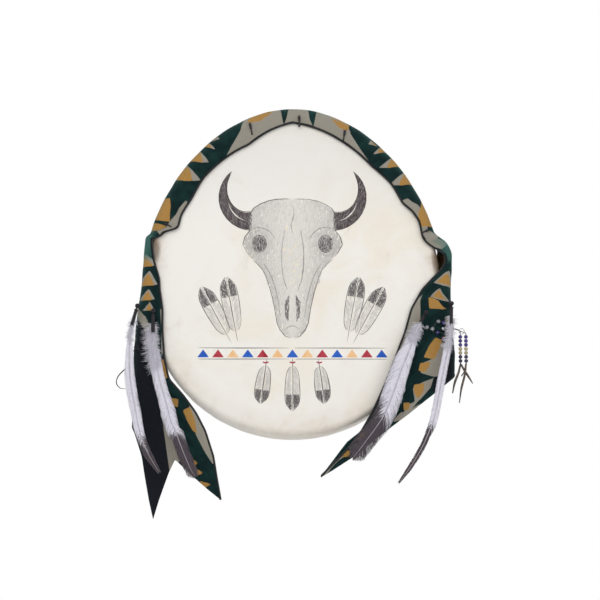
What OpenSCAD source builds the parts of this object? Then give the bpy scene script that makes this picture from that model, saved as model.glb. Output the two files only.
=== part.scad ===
// Hand drum: a bent-wood hoop with a laced rawhide head, a stitched wool strip over its top,
// and feathers and beads that hang at its sides.
// X runs across the drum, Y from the playing face to the back, and Z up.
// The origin is the centre of the hand grip, in the plane of the lacing.

/* [Drum] */
// Half width of the drum, and the radius of its round lower half
half_width = 200; // [198:1:202]
// Height of the top above the widest line
rise = 244; // [242:1:246]
// How full the upper half is, where 2 is an ellipse
fullness = 1.9; // [1.86:0.01:1.94]
// Distance from the lacing plane to the playing face
face_depth = 70; // [69:0.5:71]
// Distance from the lacing plane to the back rim
rim_depth = 8; // [8:0.5:10]
// Radius of the head's rounded edge
shoulder_r = 9; // [8.5:0.5:9.5]

/* [Hoop and head] */
// Thickness of the bent wood
hoop_t = 10; // [8:0.5:11]
// Thickness of the rawhide
hide_t = 1.6; // [1.2:0.1:1.8]
// Number of lacing holes, in four equal groups
hole_count = 32; // [24, 28, 32]
// Radius of a lacing hole
hole_r = 2.2; // [2.0:0.1:2.6]
// Width of a lace
lace_w = 4; // [3:0.5:4]
// Thickness of a lace
lace_t = 1.6; // [1.2:0.1:1.8]

/* [Grip] */
// Distance from the centre to the end of a grip arm
arm_reach = 66; // [62:1:70]
// Radius of the knot at the centre
hub_r = 16; // [14:0.5:17]

/* [Wool strip] */
// Width of the strip
strip_w = 96; // [92:1:98]
// Thickness of the wool
strip_t = 3; // [2.4:0.2:3]
// Radius of the dark stitching along its front edge
binding_r = 1.7; // [1.6:0.1:1.7]

/* [Feathers and beads] */
// Radius of the leather stem that a feather hangs from
stem_r = 1.6; // [1.4:0.1:1.8]
// Radial clearance of an eye on its stem
eye_clearance = 0.08; // [0.05:0.01:0.1]
// Radius of a leather wrap round a quill
wrap_r = 2.5; // [2.4:0.1:2.6]
// Half the thickness of a feather at its shaft
shaft_r = 1.1; // [0.9:0.1:1.2]
// Radius of a glass bead
bead_r = 2.6; // [2.4:0.1:2.7]
// Radius of the thong that a bead is strung on
string_r = 0.6; // [0.5:0.1:0.7]

/* [Hidden] */
$fn = 48;
gap = 0.05;                               // between hoop and hide, so that they don't share a face
ring_n = 72;                              // sides round the drum
side_t = 2;                               // how far the middle of the strip stands off the hide
face_y = -face_depth;
arc_y = face_y + shoulder_r;              // where the rounded edge meets the side wall
wool_y = face_y - side_t;                 // the middle of the wool, on the face
wool_front = wool_y - strip_t / 2;
hoop_front = face_y + hide_t + 0.6;       // front edge of the wood, clear of the stretched hide
lip_in = hide_t + gap + hoop_t + 0.8;     // the rawhide leaves the back of the hoop here
lip_end = lip_in + 22;                    // inner edge of the rawhide
lip_drop = 6;                             // how far that edge lies in front of the rim
hole_in = lip_in + 14;                    // the lacing holes' line
hole_y = rim_depth - lip_drop * (hole_in - lip_in) / (lip_end - lip_in);

// ---- The drum's outline ----

// A point at angle a: a circle below the widest line and a superellipse above it.
function outline(a) = sin(a) < 0
    ? half_width * [cos(a), sin(a)]
    : [half_width * sign(cos(a)) * pow(abs(cos(a)), 2 / fullness), rise * pow(sin(a), 2 / fullness)];

// The outward direction there.
function outward(a) = sin(a) < 0
    ? [cos(a), sin(a)]
    : let (g = [sign(cos(a)) * pow(abs(cos(a)), 2 - 2 / fullness) / half_width,
                pow(sin(a), 2 - 2 / fullness) / rise])
      g / norm(g);

// The same point moved inwards, at depth y.
function rim(a, inset, y) =
    let (p = outline(a) - inset * outward(a))
    [p.x, y, p.y];

// ---- Solids from rings of points ----

// Joins rings that each hold the same even number of points. In a capped ring, point j faces
// point m-1-j, so the ends close as a row of narrow faces.
module loft(rings, loop = false) {
    n = len(rings);
    m = len(rings[0]);
    sides = [for (i = [0 : n - (loop ? 1 : 2)], j = [0 : m - 1])
        let (a = i * m + j, b = i * m + (j + 1) % m,
             c = ((i + 1) % n) * m + (j + 1) % m, d = ((i + 1) % n) * m + j)
        each [[a, b, c], [a, c, d]]];
    caps = loop ? [] : [for (k = [0, n - 1], j = [0 : m / 2 - 2])
        let (a = k * m + j, b = a + 1, c = k * m + m - 2 - j, d = c + 1)
        each (k == 0 ? [[a, c, b], [a, d, c]] : [[a, b, c], [a, c, d]])];
    polyhedron(points = [for (r = rings) each r], faces = concat(sides, caps));
}

// A tube of the given number of sides along points in space.
module tube(path, r, sides = 6) {
    last = len(path) - 1;
    loft([for (i = [0 : last])
        let (t = path[min(i + 1, last)] - path[max(i - 1, 0)],
             u = let (c = cross(t, abs(t.y) > 0.9 * norm(t) ? [1, 0, 0] : [0, 1, 0])) c / norm(c),
             v = cross(t, u) / norm(t))
        [for (k = [0 : sides - 1]) path[i] + r * (cos(k * 360 / sides) * u + sin(k * 360 / sides) * v)]]);
}

// A sheet of thickness t about a grid of points.
module sheet(grid, t) {
    rows = len(grid) - 1;
    cols = len(grid[0]) - 1;
    function normal(i, j) =
        let (along = grid[min(i + 1, rows)][j] - grid[max(i - 1, 0)][j],
             across = grid[i][min(j + 1, cols)] - grid[i][max(j - 1, 0)],
             c = cross(along, across))
        c / norm(c);
    loft([for (i = [0 : rows]) concat(
        [for (j = [0 : cols]) grid[i][j] + t / 2 * normal(i, j)],
        [for (j = [cols : -1 : 0]) grid[i][j] - t / 2 * normal(i, j)])]);
}

// A round bar from p to q.
module bar(p, q, r) {
    d = q - p;
    translate(p) rotate([0, acos(d.z / norm(d)), atan2(d.y, d.x)]) cylinder(r = r, h = norm(d));
}

// ---- Hoop and head ----

module hoop() {
    out = hide_t + gap;
    profile = [[out, rim_depth - out], [out, arc_y], [4.5, arc_y - 5], [8, hoop_front],
               [out + hoop_t, hoop_front], [out + hoop_t, rim_depth - out]];
    color("burlywood")
    loft([for (i = [0 : ring_n - 1]) [for (p = profile) rim(i * 360 / ring_n, p.x, p.y)]], true);
}

// The rawhide's section, from the face round the side and back rim to the lip, and back inside.
hide_section = concat(
    [for (f = [0 : 30 : 90]) [shoulder_r * (1 - sin(f)), arc_y - shoulder_r * cos(f)]],
    [[0, rim_depth - 0.8], [0.8, rim_depth], [lip_in, rim_depth],
     [lip_end, rim_depth - lip_drop], [lip_end, rim_depth - lip_drop - hide_t],
     [lip_in, rim_depth - hide_t], [hide_t, rim_depth - hide_t]],
    [for (f = [90 : -30 : 0])
        [shoulder_r - (shoulder_r - hide_t) * sin(f), arc_y - (shoulder_r - hide_t) * cos(f)]]);

module hide_shell() {
    m = len(hide_section);
    total = ring_n * m;
    points = concat([for (i = [0 : ring_n - 1], p = hide_section) rim(i * 360 / ring_n, p.x, p.y)],
                    [[0, face_y, 0], [0, face_y + hide_t, 0]]);
    walls = [for (i = [0 : ring_n - 1], j = [0 : m - 2])
        let (a = i * m + j, b = a + 1, d = ((i + 1) % ring_n) * m + j, c = d + 1)
        each [[a, b, c], [a, c, d]]];
    faces = [for (i = [0 : ring_n - 1])
        let (a = i * m, b = ((i + 1) % ring_n) * m)
        each [[total, a, b], [total + 1, b + m - 1, a + m - 1]]];
    polyhedron(points = points, faces = concat(walls, faces));
}

module drumhead() {
    color("linen")
    difference() {
        hide_shell();
        for (k = [0 : hole_count - 1]) {
            translate(rim((k + 0.5) * 360 / hole_count, hole_in, rim_depth + 1))
                rotate([90, 0, 0]) cylinder(r = hole_r, h = lip_drop + 4);
            // Between holes the edge is drawn back in a scallop.
            translate(rim(k * 360 / hole_count, lip_end + 5, rim_depth + 1))
                rotate([90, 0, 0]) cylinder(r = 12, h = lip_drop + 6);
        }
    }
}

// ---- Lacing and grip ----

per_arm = hole_count / 4;

// One lace, from inside the mouth of a grip arm to its hole, and down through it.
module lace(arm, j) {
    hole = rim((arm + (j + 0.5) / per_arm - 0.5) * 90, hole_in, hole_y + lace_t / 2 + 0.2);
    layer = (j % 2 == 0 ? 1 : -1) * (lace_t / 2 + 0.4);
    start = [arm_reach - 10, layer, (j - (per_arm - 1) / 2) * (lace_w + 0.6) / 2];
    from = [start.x * cos(arm * 90) - start.z * sin(arm * 90), start.y,
            start.x * sin(arm * 90) + start.z * cos(arm * 90)];
    d = hole - from;
    translate(from)
        rotate([0, -atan2(d.z, d.x), 0]) rotate([0, 0, asin(d.y / norm(d))])
        translate([0, -lace_t / 2, -lace_w / 2]) cube([norm(d), lace_t, lace_w]);
    translate(hole + [0, lace_t / 2, 0])
        rotate([90, 0, 0]) cylinder(r = lace_t, h = hide_t + lace_t + 3);
}

module lacing(arm) {
    color("tan")
    for (j = [0 : per_arm - 1]) lace(arm, j);
}

module stadium(w, h) {
    square([w - h, h], center = true);
    for (s = [-1, 1]) translate([s * (w - h) / 2, 0]) circle(d = h);
}

// Laces bound into one flat grip arm, open at its mouth where they fan out.
module grip_wrap(arm) {
    start = hub_r + 0.3;
    color("sienna")
    rotate([0, -arm * 90, 0]) rotate([0, 90, 0])
    difference() {
        translate([0, 0, start]) linear_extrude(arm_reach - start) stadium(26, 10);
        translate([0, 0, arm_reach - 12]) linear_extrude(13) stadium(23.5, 6.4);
    }
}

module grip_hub() {
    color("sienna")
    rotate([90, 0, 0]) {
        cylinder(r = hub_r, h = 11, center = true);
        cylinder(r = hub_r - 3, h = 14.6, center = true);
    }
}

// ---- Wool strip ----

// How far the strip's front edge lies inside the outline, by angle.
edge_inset = [[18, 14], [24, 11], [28, 14], [32, 21], [40, 20], [50, 25], [66, 23], [79, 20],
              [90, 17], [101, 23], [113, 31], [125, 28], [136, 26], [145, 29], [152, 27],
              [157, 30], [160, 12]];
band_from = 162;
band_to = 18;
band_step = 6;

// A rib is the strip's section at one place: its front edge x, y, z, the direction in which it
// runs outwards, how far it runs flat, and the radius with which it then turns to the back.
function band_rib(a) =
    let (inset = lookup(a, edge_inset), p = outline(a) - inset * outward(a),
         turn = shoulder_r + side_t)
    [p.x, wool_y - (a > 156 || a < 30 ? 1 : 0), p.y, atan2(outward(a).y, outward(a).x),
     max(inset - shoulder_r, 0), turn];

// The left end hangs along the side wall, then swings forward and lies flat.
left_ribs = [
    [-191, -71, 69, 165, 0, 7], [-190, -73, 55, 174, 0, 9], [-187, -73, 35, 180, 3, 10],
    [-180, -73, 12, 180, 11, 11], [-179, -73, -3, 180, 13, 11], [-175, -74, -30, 180, 21, 11],
    [-175, -74, -56, 180, 24, 11], [-172, -74, -97, 180, 30, 10], [-166, -69, -124, 180, 37, 9],
    [-147, -61, -145, 180, 58, 8], [-130, -57, -168, 180, 76, 5], [-117, -56, -193, 180, 96, 3],
    [-106, -56, -227, 180, 96, 3], [-102, -56, -252, 180, 96, 3], [-96, -56, -285, 180, 96, 3],
    [-90, -56, -311, 180, 96, 3]];
// The right end bows out below its tack, then swings across the face's edge.
right_ribs = [
    [180, -73, 62, 8, 14, 12], [191, -73, 55, 4, 9, 11], [206, -71, 47, 0, 1, 7],
    [208, -70, 36, 0, 0, 6], [201, -72, 24, 0, 5, 8], [189, -73, 12, 0, 15, 9],
    [175, -74, -3, 0, 27, 10], [160, -74, -30, 0, 42, 10], [151, -74, -62, 0, 54, 9],
    [141, -74, -88, 0, 68, 8], [129, -74, -119, 0, 81, 6], [118, -74, -145, 0, 96, 3],
    [107, -73, -169, 0, 96, 3], [87, -68, -203, 0, 96, 3], [67, -65, -225, 0, 96, 3],
    [38, -62, -254, 0, 96, 3]];
// Height at which each tail is cut, by distance from the front edge: a swallowtail on the left,
// and on the right a slant along which the wool is turned under.
left_cut = [[0, -285], [15, -271], [38, -247], [52, -231], [62, -247], [78, -277], [96, -311]];
right_cut = [[0, -254], [13, -225], [21, -203], [46, -169], [65, -145], [87, -119], [96, -112]];
turn_under = 18;                          // how much wool lies behind the slant
slant_out = [0.6, 0, -0.8];               // away from the wool, across the slant
even = [0, 14, 24, 38, 52, 66, 82, 96];   // lines along a flat tail, by distance from its front edge

// Where a rib's points lie across the wool. One that turns to the back has four points round the
// turn and is gathered a little where it would pass the back rim, and a flat one is evenly divided.
function across(rib) =
    let (flat = rib[4], arc = rib[5] * PI / 2,
         w = min(strip_w, flat + arc + rim_depth - 2 - rib.y - rib[5]), side = (w - flat - arc) / 3,
         turned = [0, flat, flat + arc / 3, flat + 2 * arc / 3, flat + arc,
                   flat + arc + side, flat + arc + 2 * side, w],
         f = max(0, min(1, (flat - 26) / 30)))
    [for (j = [0 : 7]) (1 - f) * (j == 0 ? 0 : max(turned[j], 0.4 * j)) + f * even[j] * strip_w / even[7]];

function section(rib, v) =
    let (e = [cos(rib[3]), 0, sin(rib[3])], flat = min(v, rib[4]),
         turn = min(max(v - rib[4], 0) / rib[5] * 180 / PI, 90),
         back = max(v - rib[4] - rib[5] * PI / 2, 0))
    [rib.x, rib.y, rib.z] + e * (flat + rib[5] * sin(turn)) + [0, rib[5] * (1 - cos(turn)) + back, 0];

// A tail's rib at height z, and its rows of points down to the cut.
function rib_at(ribs, z) = [for (k = [0 : 5]) lookup(z, [for (r = ribs) [r.z, r[k]]])];
function tail_rows(ribs, cut, steps) = [for (i = [0 : steps])
    [for (j = [0 : 7])
        let (z = ribs[0].z + (lookup(even[j], cut) - ribs[0].z) * i / steps, rib = rib_at(ribs, z))
        section(rib, across(rib)[j])]];
function turned_rows(last) = [for (s = [[0.12, 2.5], [-0.3, 8], [-1, 9]])
    [for (j = [0 : 7])
        last[j] + slant_out * s[0] * turn_under * min(j, 1) + [0, s[1] * min(j + 0.4, 1), 0]]];
function reversed(list) = [for (i = [len(list) - 1 : -1 : 0]) list[i]];

left_rows = tail_rows(left_ribs, left_cut, 18);
right_flat = tail_rows(right_ribs, right_cut, 18);
right_rows = concat(right_flat, turned_rows(right_flat[len(right_flat) - 1]));
band_rows = [for (a = [band_from : -band_step : band_to])
    let (rib = band_rib(a)) [for (v = across(rib)) section(rib, v)]];
strip_grid = concat(reversed(left_rows), band_rows, right_rows);

module blanket_strip() {
    color("darkslategray") sheet(strip_grid, strip_t);
}

module edge_binding() {
    color("black")
    tube([for (row = concat(reversed(left_rows), band_rows, right_flat)) row[0]], binding_r);
}

// Each tack is a stitch over the strip near its outer edge, from x, z to x, z.
tacks = [[-58, 224, -55, 210], [9, 234, 9, 222], [71, 214, 69, 202], [-172, 87, -164, 82], [183, 78, 176, 75]];

tack_r = 0.9;
tack_y = wool_front - tack_r - 0.2;

module tack_stitches() {
    color("black")
    for (t = tacks) bar([t[0], tack_y, t[1]], [t[2], tack_y, t[3]], tack_r);
}

// ---- Feathers ----

// Each feather: the point x, z that it hangs from, its depth, the length of its leather wrap, and
// its shaft as x, z and the vane's width to the left and right.
left_outer = [[-208, -27], -84.5, 22,
    [[-217, -60, 1, 1], [-219, -80, 5, 5], [-220, -116, 6, 6], [-214, -167, 6, 6],
     [-203, -197, 6, 5], [-191, -230, 5, 5], [-176, -253, 1, 1]]];
left_inner = [[-187, -33], -80, 24,
    [[-187, -66, 1, 1], [-185, -85, 9, 7], [-180, -120, 9, 9], [-171, -157, 9, 9],
     [-157, -197, 9, 10], [-144, -228, 8, 8], [-129, -253, 1.5, 1.5]]];
right_inner = [[179, -36], -85.5, 9,
    [[172, -49, 1, 1], [164, -65, 10, 6], [157, -84, 15, 9], [145, -114, 15, 14],
     [131, -153, 15, 12], [118, -180, 14, 11], [98, -208, 11, 9], [79, -232, 2, 2]]];
right_outer = [[213, -24], -90, 22,
    [[212, -58, 1, 1], [209, -75, 6, 5], [206, -92, 6, 5], [199, -126, 5, 5], [189, -175, 5, 5],
     [181, -197, 3, 3], [172, -217, 3.5, 3.5], [157, -242, 3.5, 3], [141, -264, 0.8, 0.8]]];
eye_t = 2.4;
strap_end = 9;                            // where the thong meets the quill, below its stem
quill_top = 11;

function hang(f) = [f[0].x, f[1], f[0].y];
function lean(f) = let (d = [f[3][0].x - f[0].x, 0, f[3][0].y - f[0].y]) d / norm(d);

// A stem through the wool, with a knot that keeps the eye on it.
module stem(at, y) {
    end = y - eye_t / 2 - 0.4;
    color("black")
    translate([at.x, wool_y, at.y]) rotate([90, 0, 0]) {
        cylinder(r = stem_r, h = wool_y - end + 0.5);
        translate([0, 0, wool_y - end]) cylinder(r = stem_r + 1, h = 1.2);
        translate([0, 0, 3.6]) cylinder(r = stem_r + 1, h = 1);
    }
}

module eye(at) {
    translate(at) rotate([90, 0, 0])
    difference() {
        cylinder(r = stem_r + 1.6, h = eye_t, center = true);
        cylinder(r = stem_r + eye_clearance, h = eye_t + 1, center = true);
    }
}

module thong(f) {
    color("black") {
        eye(hang(f));
        bar(hang(f) + (stem_r + 1) * lean(f), hang(f) + strap_end * lean(f), 1);
    }
}

module quill_wrap(f) {
    from = hang(f) + 5 * lean(f);
    to = from + f[2] * lean(f);
    color("black")
    difference() {
        bar(from, to, wrap_r);
        bar(from - lean(f), to + lean(f), shaft_r + 0.25);
    }
}

// A flat blade, thickest along its shaft.
module feather(f) {
    top = hang(f) + quill_top * lean(f);
    shaft = concat([[top.x, top.z, 1, 1]], f[3]);
    last = len(shaft) - 1;
    color("ghostwhite")
    loft([for (i = [0 : last])
        let (t = shaft[min(i + 1, last)] - shaft[max(i - 1, 0)], n = [t.y, 0, -t.x] / norm([t.x, t.y]),
             c = [shaft[i].x, f[1], shaft[i].y])
        [c + shaft[i][2] * n, c - [0, shaft_r, 0], c - shaft[i][3] * n, c + [0, shaft_r, 0]]]);
}

// ---- Beads ----

// A bead whose hole runs at an angle in the plane of the face.
module bead(p, angle, r = bead_r) {
    translate(p) rotate([0, -angle, 0]) rotate([0, 90, 0])
    difference() {
        sphere(r = r);
        cylinder(r = string_r + 0.3, h = 3 * r, center = true);
    }
}

bead_y = -80;
drop_at = [214, -57];
leg_x = [225, 232.6];
leg_top = -65;
pitch = 2 * bead_r + 0.2;
leg_beads_n = 7;
first_bead = leg_top - 3;
last_bead_end = first_bead - (leg_beads_n - 1) * pitch - bead_r;
leg_end = last_bead_end - 1.6;
drop_ring_r = 3.6;
drop_ring_z = first_bead + bead_r + drop_ring_r + string_r + 0.6;   // clear of the first beads

// One thong folded in half: two legs that the beads are strung on.
module drop_thong() {
    color("black") {
        eye([drop_at.x, bead_y, drop_at.y]);
        bar([drop_at.x + 2.4, bead_y, drop_at.y], [leg_x[1] + 0.4, bead_y, leg_top + 2], string_r + 0.2);
        for (x = leg_x) bar([x, bead_y, leg_top + (x == leg_x[0] ? 4.6 : 2)], [x, bead_y, leg_end], string_r);
    }
}

// The wire ring that gathers the legs at the top.
module drop_ring() {
    color("silver")
    translate([(leg_x[0] + leg_x[1]) / 2 - 2, bead_y - 2 * string_r, drop_ring_z]) rotate([90, 0, 0])
        rotate_extrude() translate([drop_ring_r, 0]) circle(r = string_r, $fn = 16);
}

// Loose leather ends below the beads: leg, and the x, z that each one hangs to.
loose_ends = [[0, [241, -131]], [1, [223, -157]], [0, [214, -144]], [1, [226, -121]]];

module drop_ends() {
    color("dimgray")
    for (i = [0 : len(loose_ends) - 1])
        let (e = loose_ends[i], y = bead_y + (i - 1.5) * 0.8)
        bar([leg_x[e[0]], y, last_bead_end - 0.7], [e[1].x, y, e[1].y], 0.7);
}

module leg_beads(first, last) {
    for (x = leg_x, k = [first : last]) bead([x, bead_y, first_bead - k * pitch], 90);
}

module drop_beads_purple() { color("indigo") leg_beads(0, 2); }
module drop_beads_tan() { color("darkkhaki") leg_beads(3, 4); }
module drop_beads_dark() { color("midnightblue") leg_beads(5, leg_beads_n - 1); }

// Beads sewn on in a cluster: x, z and the angle of each one's hole.
cluster_y = -78.8;
purple_beads = [[203, -49, 150], [195, -62, 10]];
clear_beads = [[196, -47, 200], [188, -57, 250], [180.6, -55, 90]];
silver_bead = [202.5, -57, 0];
ring_at = [204, -71];
cluster_order = [purple_beads[0], clear_beads[0], clear_beads[1], purple_beads[1]];
sewn_y = wool_front - string_r;           // a thread lying on the wool

// A bead's end, or a point that far beyond it, along its hole.
function bead_end(b, s, y, beyond = 0) =
    [b.x + s * (bead_r + beyond) * cos(b[2]), y, b.y + s * (bead_r + beyond) * sin(b[2])];

// One thread runs through four of the beads to the ring, and two beads have a stitch each.
module cluster_thong() {
    color("black") {
        tube(concat([[209, sewn_y - 0.1, -52]],
            [for (b = cluster_order, s = [-1, 1]) bead_end(b, s, cluster_y)],
            [[202, cluster_y, -64], [ring_at.x, sewn_y - 0.3, ring_at.y + 4.2]]), string_r);
        for (b = [clear_beads[2], silver_bead])
            tube([bead_end(b, -1, sewn_y - 0.1, 1.8), bead_end(b, -1, cluster_y),
                  bead_end(b, 1, cluster_y), bead_end(b, 1, sewn_y - 0.1, 1.8)], string_r);
    }
}

module cluster_beads_purple() { color("indigo") for (b = purple_beads) bead([b.x, cluster_y, b.y], b[2]); }
module cluster_beads_clear() { color("lavender") for (b = clear_beads) bead([b.x, cluster_y, b.y], b[2]); }

module cluster_bead_silver() {
    color("silver") bead([silver_bead.x, cluster_y, silver_bead.y], silver_bead[2]);
}

module cluster_ring() {
    color("saddlebrown")
    translate([ring_at.x, -77.4, ring_at.y]) rotate([90, 0, 0])
        rotate_extrude() translate([3.4, 0]) circle(r = 1.1, $fn = 16);
}

// ---- Ties ----

// A flat knot of thong on the left tail, between its feathers.
module tie_left() {
    color("black") {
        for (p = [[-209, -82], [-200, -90]])
            translate([p.x, -75.6, p.y]) rotate([90, 0, 0]) cylinder(r = 4, h = 2.4);
        bar([-209, -76.8, -82], [-200, -76.8, -90], 1);
    }
}

// A loose end that curls out from behind the outer left feather.
module curl_left() {
    color("black")
    tube([[-211, -60, -100], [-220, -62, -106], [-229, -65, -114], [-235, -66, -122],
          [-236, -66, -130], [-231, -66, -136], [-223, -66, -137]], 0.9);
}

hoop();
drumhead();
lacing(0);  // lacing_right
lacing(1);  // lacing_top
lacing(2);  // lacing_left
lacing(3);  // lacing_bottom
grip_wrap(0);  // grip_wrap_right
grip_wrap(1);  // grip_wrap_top
grip_wrap(2);  // grip_wrap_left
grip_wrap(3);  // grip_wrap_bottom
grip_hub();
blanket_strip();
edge_binding();
tack_stitches();
stem(left_outer[0], left_outer[1]);  // stem_left_outer
stem(left_inner[0], left_inner[1]);  // stem_left_inner
stem(right_inner[0], right_inner[1]);  // stem_right_inner
stem(right_outer[0], right_outer[1]);  // stem_right_outer
stem(drop_at, bead_y);  // stem_bead_drop
thong(left_outer);  // thong_left_outer
thong(left_inner);  // thong_left_inner
thong(right_inner);  // thong_right_inner
thong(right_outer);  // thong_right_outer
quill_wrap(left_outer);  // wrap_left_outer
quill_wrap(left_inner);  // wrap_left_inner
quill_wrap(right_inner);  // wrap_right_inner
quill_wrap(right_outer);  // wrap_right_outer
feather(left_outer);  // feather_left_outer
feather(left_inner);  // feather_left_inner
feather(right_inner);  // feather_right_inner
feather(right_outer);  // feather_right_outer
drop_thong();
drop_ring();
drop_ends();
drop_beads_purple();
drop_beads_tan();
drop_beads_dark();
cluster_thong();
cluster_beads_purple();
cluster_beads_clear();
cluster_bead_silver();
cluster_ring();
tie_left();
curl_left();
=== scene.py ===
import math
from random import Random

import bmesh
import bpy
import numpy as np
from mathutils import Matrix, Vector


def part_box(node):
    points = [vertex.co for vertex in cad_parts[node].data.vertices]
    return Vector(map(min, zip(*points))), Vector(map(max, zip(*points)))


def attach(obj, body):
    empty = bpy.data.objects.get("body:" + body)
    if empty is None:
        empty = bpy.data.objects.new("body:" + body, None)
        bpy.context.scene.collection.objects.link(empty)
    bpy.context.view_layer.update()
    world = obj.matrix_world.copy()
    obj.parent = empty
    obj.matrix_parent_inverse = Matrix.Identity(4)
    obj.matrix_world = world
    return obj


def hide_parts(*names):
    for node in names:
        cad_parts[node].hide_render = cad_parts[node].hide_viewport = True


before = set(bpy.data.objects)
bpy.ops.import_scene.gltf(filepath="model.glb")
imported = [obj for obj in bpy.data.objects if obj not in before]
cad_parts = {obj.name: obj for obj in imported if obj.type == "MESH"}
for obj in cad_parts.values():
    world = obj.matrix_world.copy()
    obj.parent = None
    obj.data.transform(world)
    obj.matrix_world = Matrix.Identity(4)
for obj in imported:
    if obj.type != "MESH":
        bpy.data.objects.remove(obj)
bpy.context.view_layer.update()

MM = 0.001
HEAD_LOW, HEAD_HIGH = (np.array(c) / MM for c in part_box("drumhead"))
HALF_WIDTH, RISE = HEAD_HIGH[0], HEAD_HIGH[2]
FACE_Y, RIM_Y = HEAD_LOW[1], HEAD_HIGH[1]
FULLNESS = 1.9
SHOULDER = 9.0
HIDE_T = 1.6
ARC_Y = FACE_Y + SHOULDER
LIP_IN = 12.45
LIP_END = LIP_IN + 22
LIP_DROP = 6.0
HOLES = 32
HOLE_IN = LIP_IN + 14
HOLE_R = 2.2
HOLE_Y = RIM_Y - LIP_DROP * (HOLE_IN - LIP_IN) / (LIP_END - LIP_IN)
SCALLOP_R, SCALLOP_BACK = 12, 5    # a bite's radius, and how far its centre lies past the lip
RING = 360                     # points round the drum
GAP_SHADOWS = ((-188, 50), (199, 37))   # painted shadow on the hide beside the strip's two gaps, where it stands off the head
SEED = 11


# ---- Points, curves and solids ----

def mix(a, b, t):
    return a + (b - a) * t


def unit(v):
    v = np.asarray(v, float)
    return v / np.maximum(np.linalg.norm(v, axis=-1, keepdims=True), 1e-9)


def step(t):
    """0 below 0, 1 above 1 and smooth between."""
    t = np.clip(t, 0, 1)
    return t * t * (3 - 2 * t)


def full_turn(n):
    """n even angles round a circle."""
    return np.linspace(0, 2 * np.pi, n, endpoint=False)


def curve(points, per=8):
    """A smooth line through the points, with `per` steps between each two."""
    p = np.asarray(points, float)
    p = np.vstack([2 * p[0] - p[1], p, 2 * p[-1] - p[-2]])
    t = np.arange(per)[:, None] / per
    parts = []
    for a, b, c, d in zip(p, p[1:], p[2:], p[3:]):
        parts.append(0.5 * (2 * b + (c - a) * t + (2 * a - 5 * b + 4 * c - d) * t * t
                            + (3 * b - a - 3 * c + d) * t ** 3))
    return np.vstack(parts + [p[-2:-1]])


def run(path):
    """The distance along a line at each of its points."""
    return np.append(0, np.cumsum(np.linalg.norm(np.diff(path, axis=0), axis=1)))


def follow(s, length, points):
    """What points, given at the distances length, come to at the distances s."""
    return np.stack([np.interp(s, length, column) for column in np.transpose(points)], -1)


def outline(a):
    """The drum's outline at angle a, in degrees: a circle below and a superellipse above."""
    c, s = np.cos(np.radians(a)), np.sin(np.radians(a))
    power = 2 / FULLNESS
    top = np.stack([HALF_WIDTH * np.sign(c) * np.abs(c) ** power,
                    RISE * np.maximum(s, 0) ** power], -1)
    return np.where(np.asarray(s)[..., None] < 0, HALF_WIDTH * np.stack([c, s], -1), top)


def outward(a):
    c, s = np.cos(np.radians(a)), np.sin(np.radians(a))
    power = 2 - 2 / FULLNESS
    top = np.stack([np.sign(c) * np.abs(c) ** power / HALF_WIDTH,
                    np.maximum(s, 0) ** power / RISE], -1)
    return unit(np.where(np.asarray(s)[..., None] < 0, np.stack([c, s], -1), top))


def rim(a, inset, y):
    """A point at angle a, moved inwards from the outline, at depth y."""
    a, inset, y = np.broadcast_arrays(np.asarray(a, float), inset, y)
    p = outline(a) - inset[..., None] * outward(a)
    return np.stack([p[..., 0], y, p[..., 1]], -1)


def grid_quads(rows, cols, wrap=False):
    i, j = np.meshgrid(np.arange(rows - 1), np.arange(cols if wrap else cols - 1), indexing="ij")
    a, b = i * cols + j, i * cols + (j + 1) % cols
    return np.stack([a, b, b + cols, a + cols], -1).reshape(-1, 4)


def add_object(name, data):
    thing = bpy.data.objects.new(name, data)
    bpy.context.scene.collection.objects.link(thing)
    return thing


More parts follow.
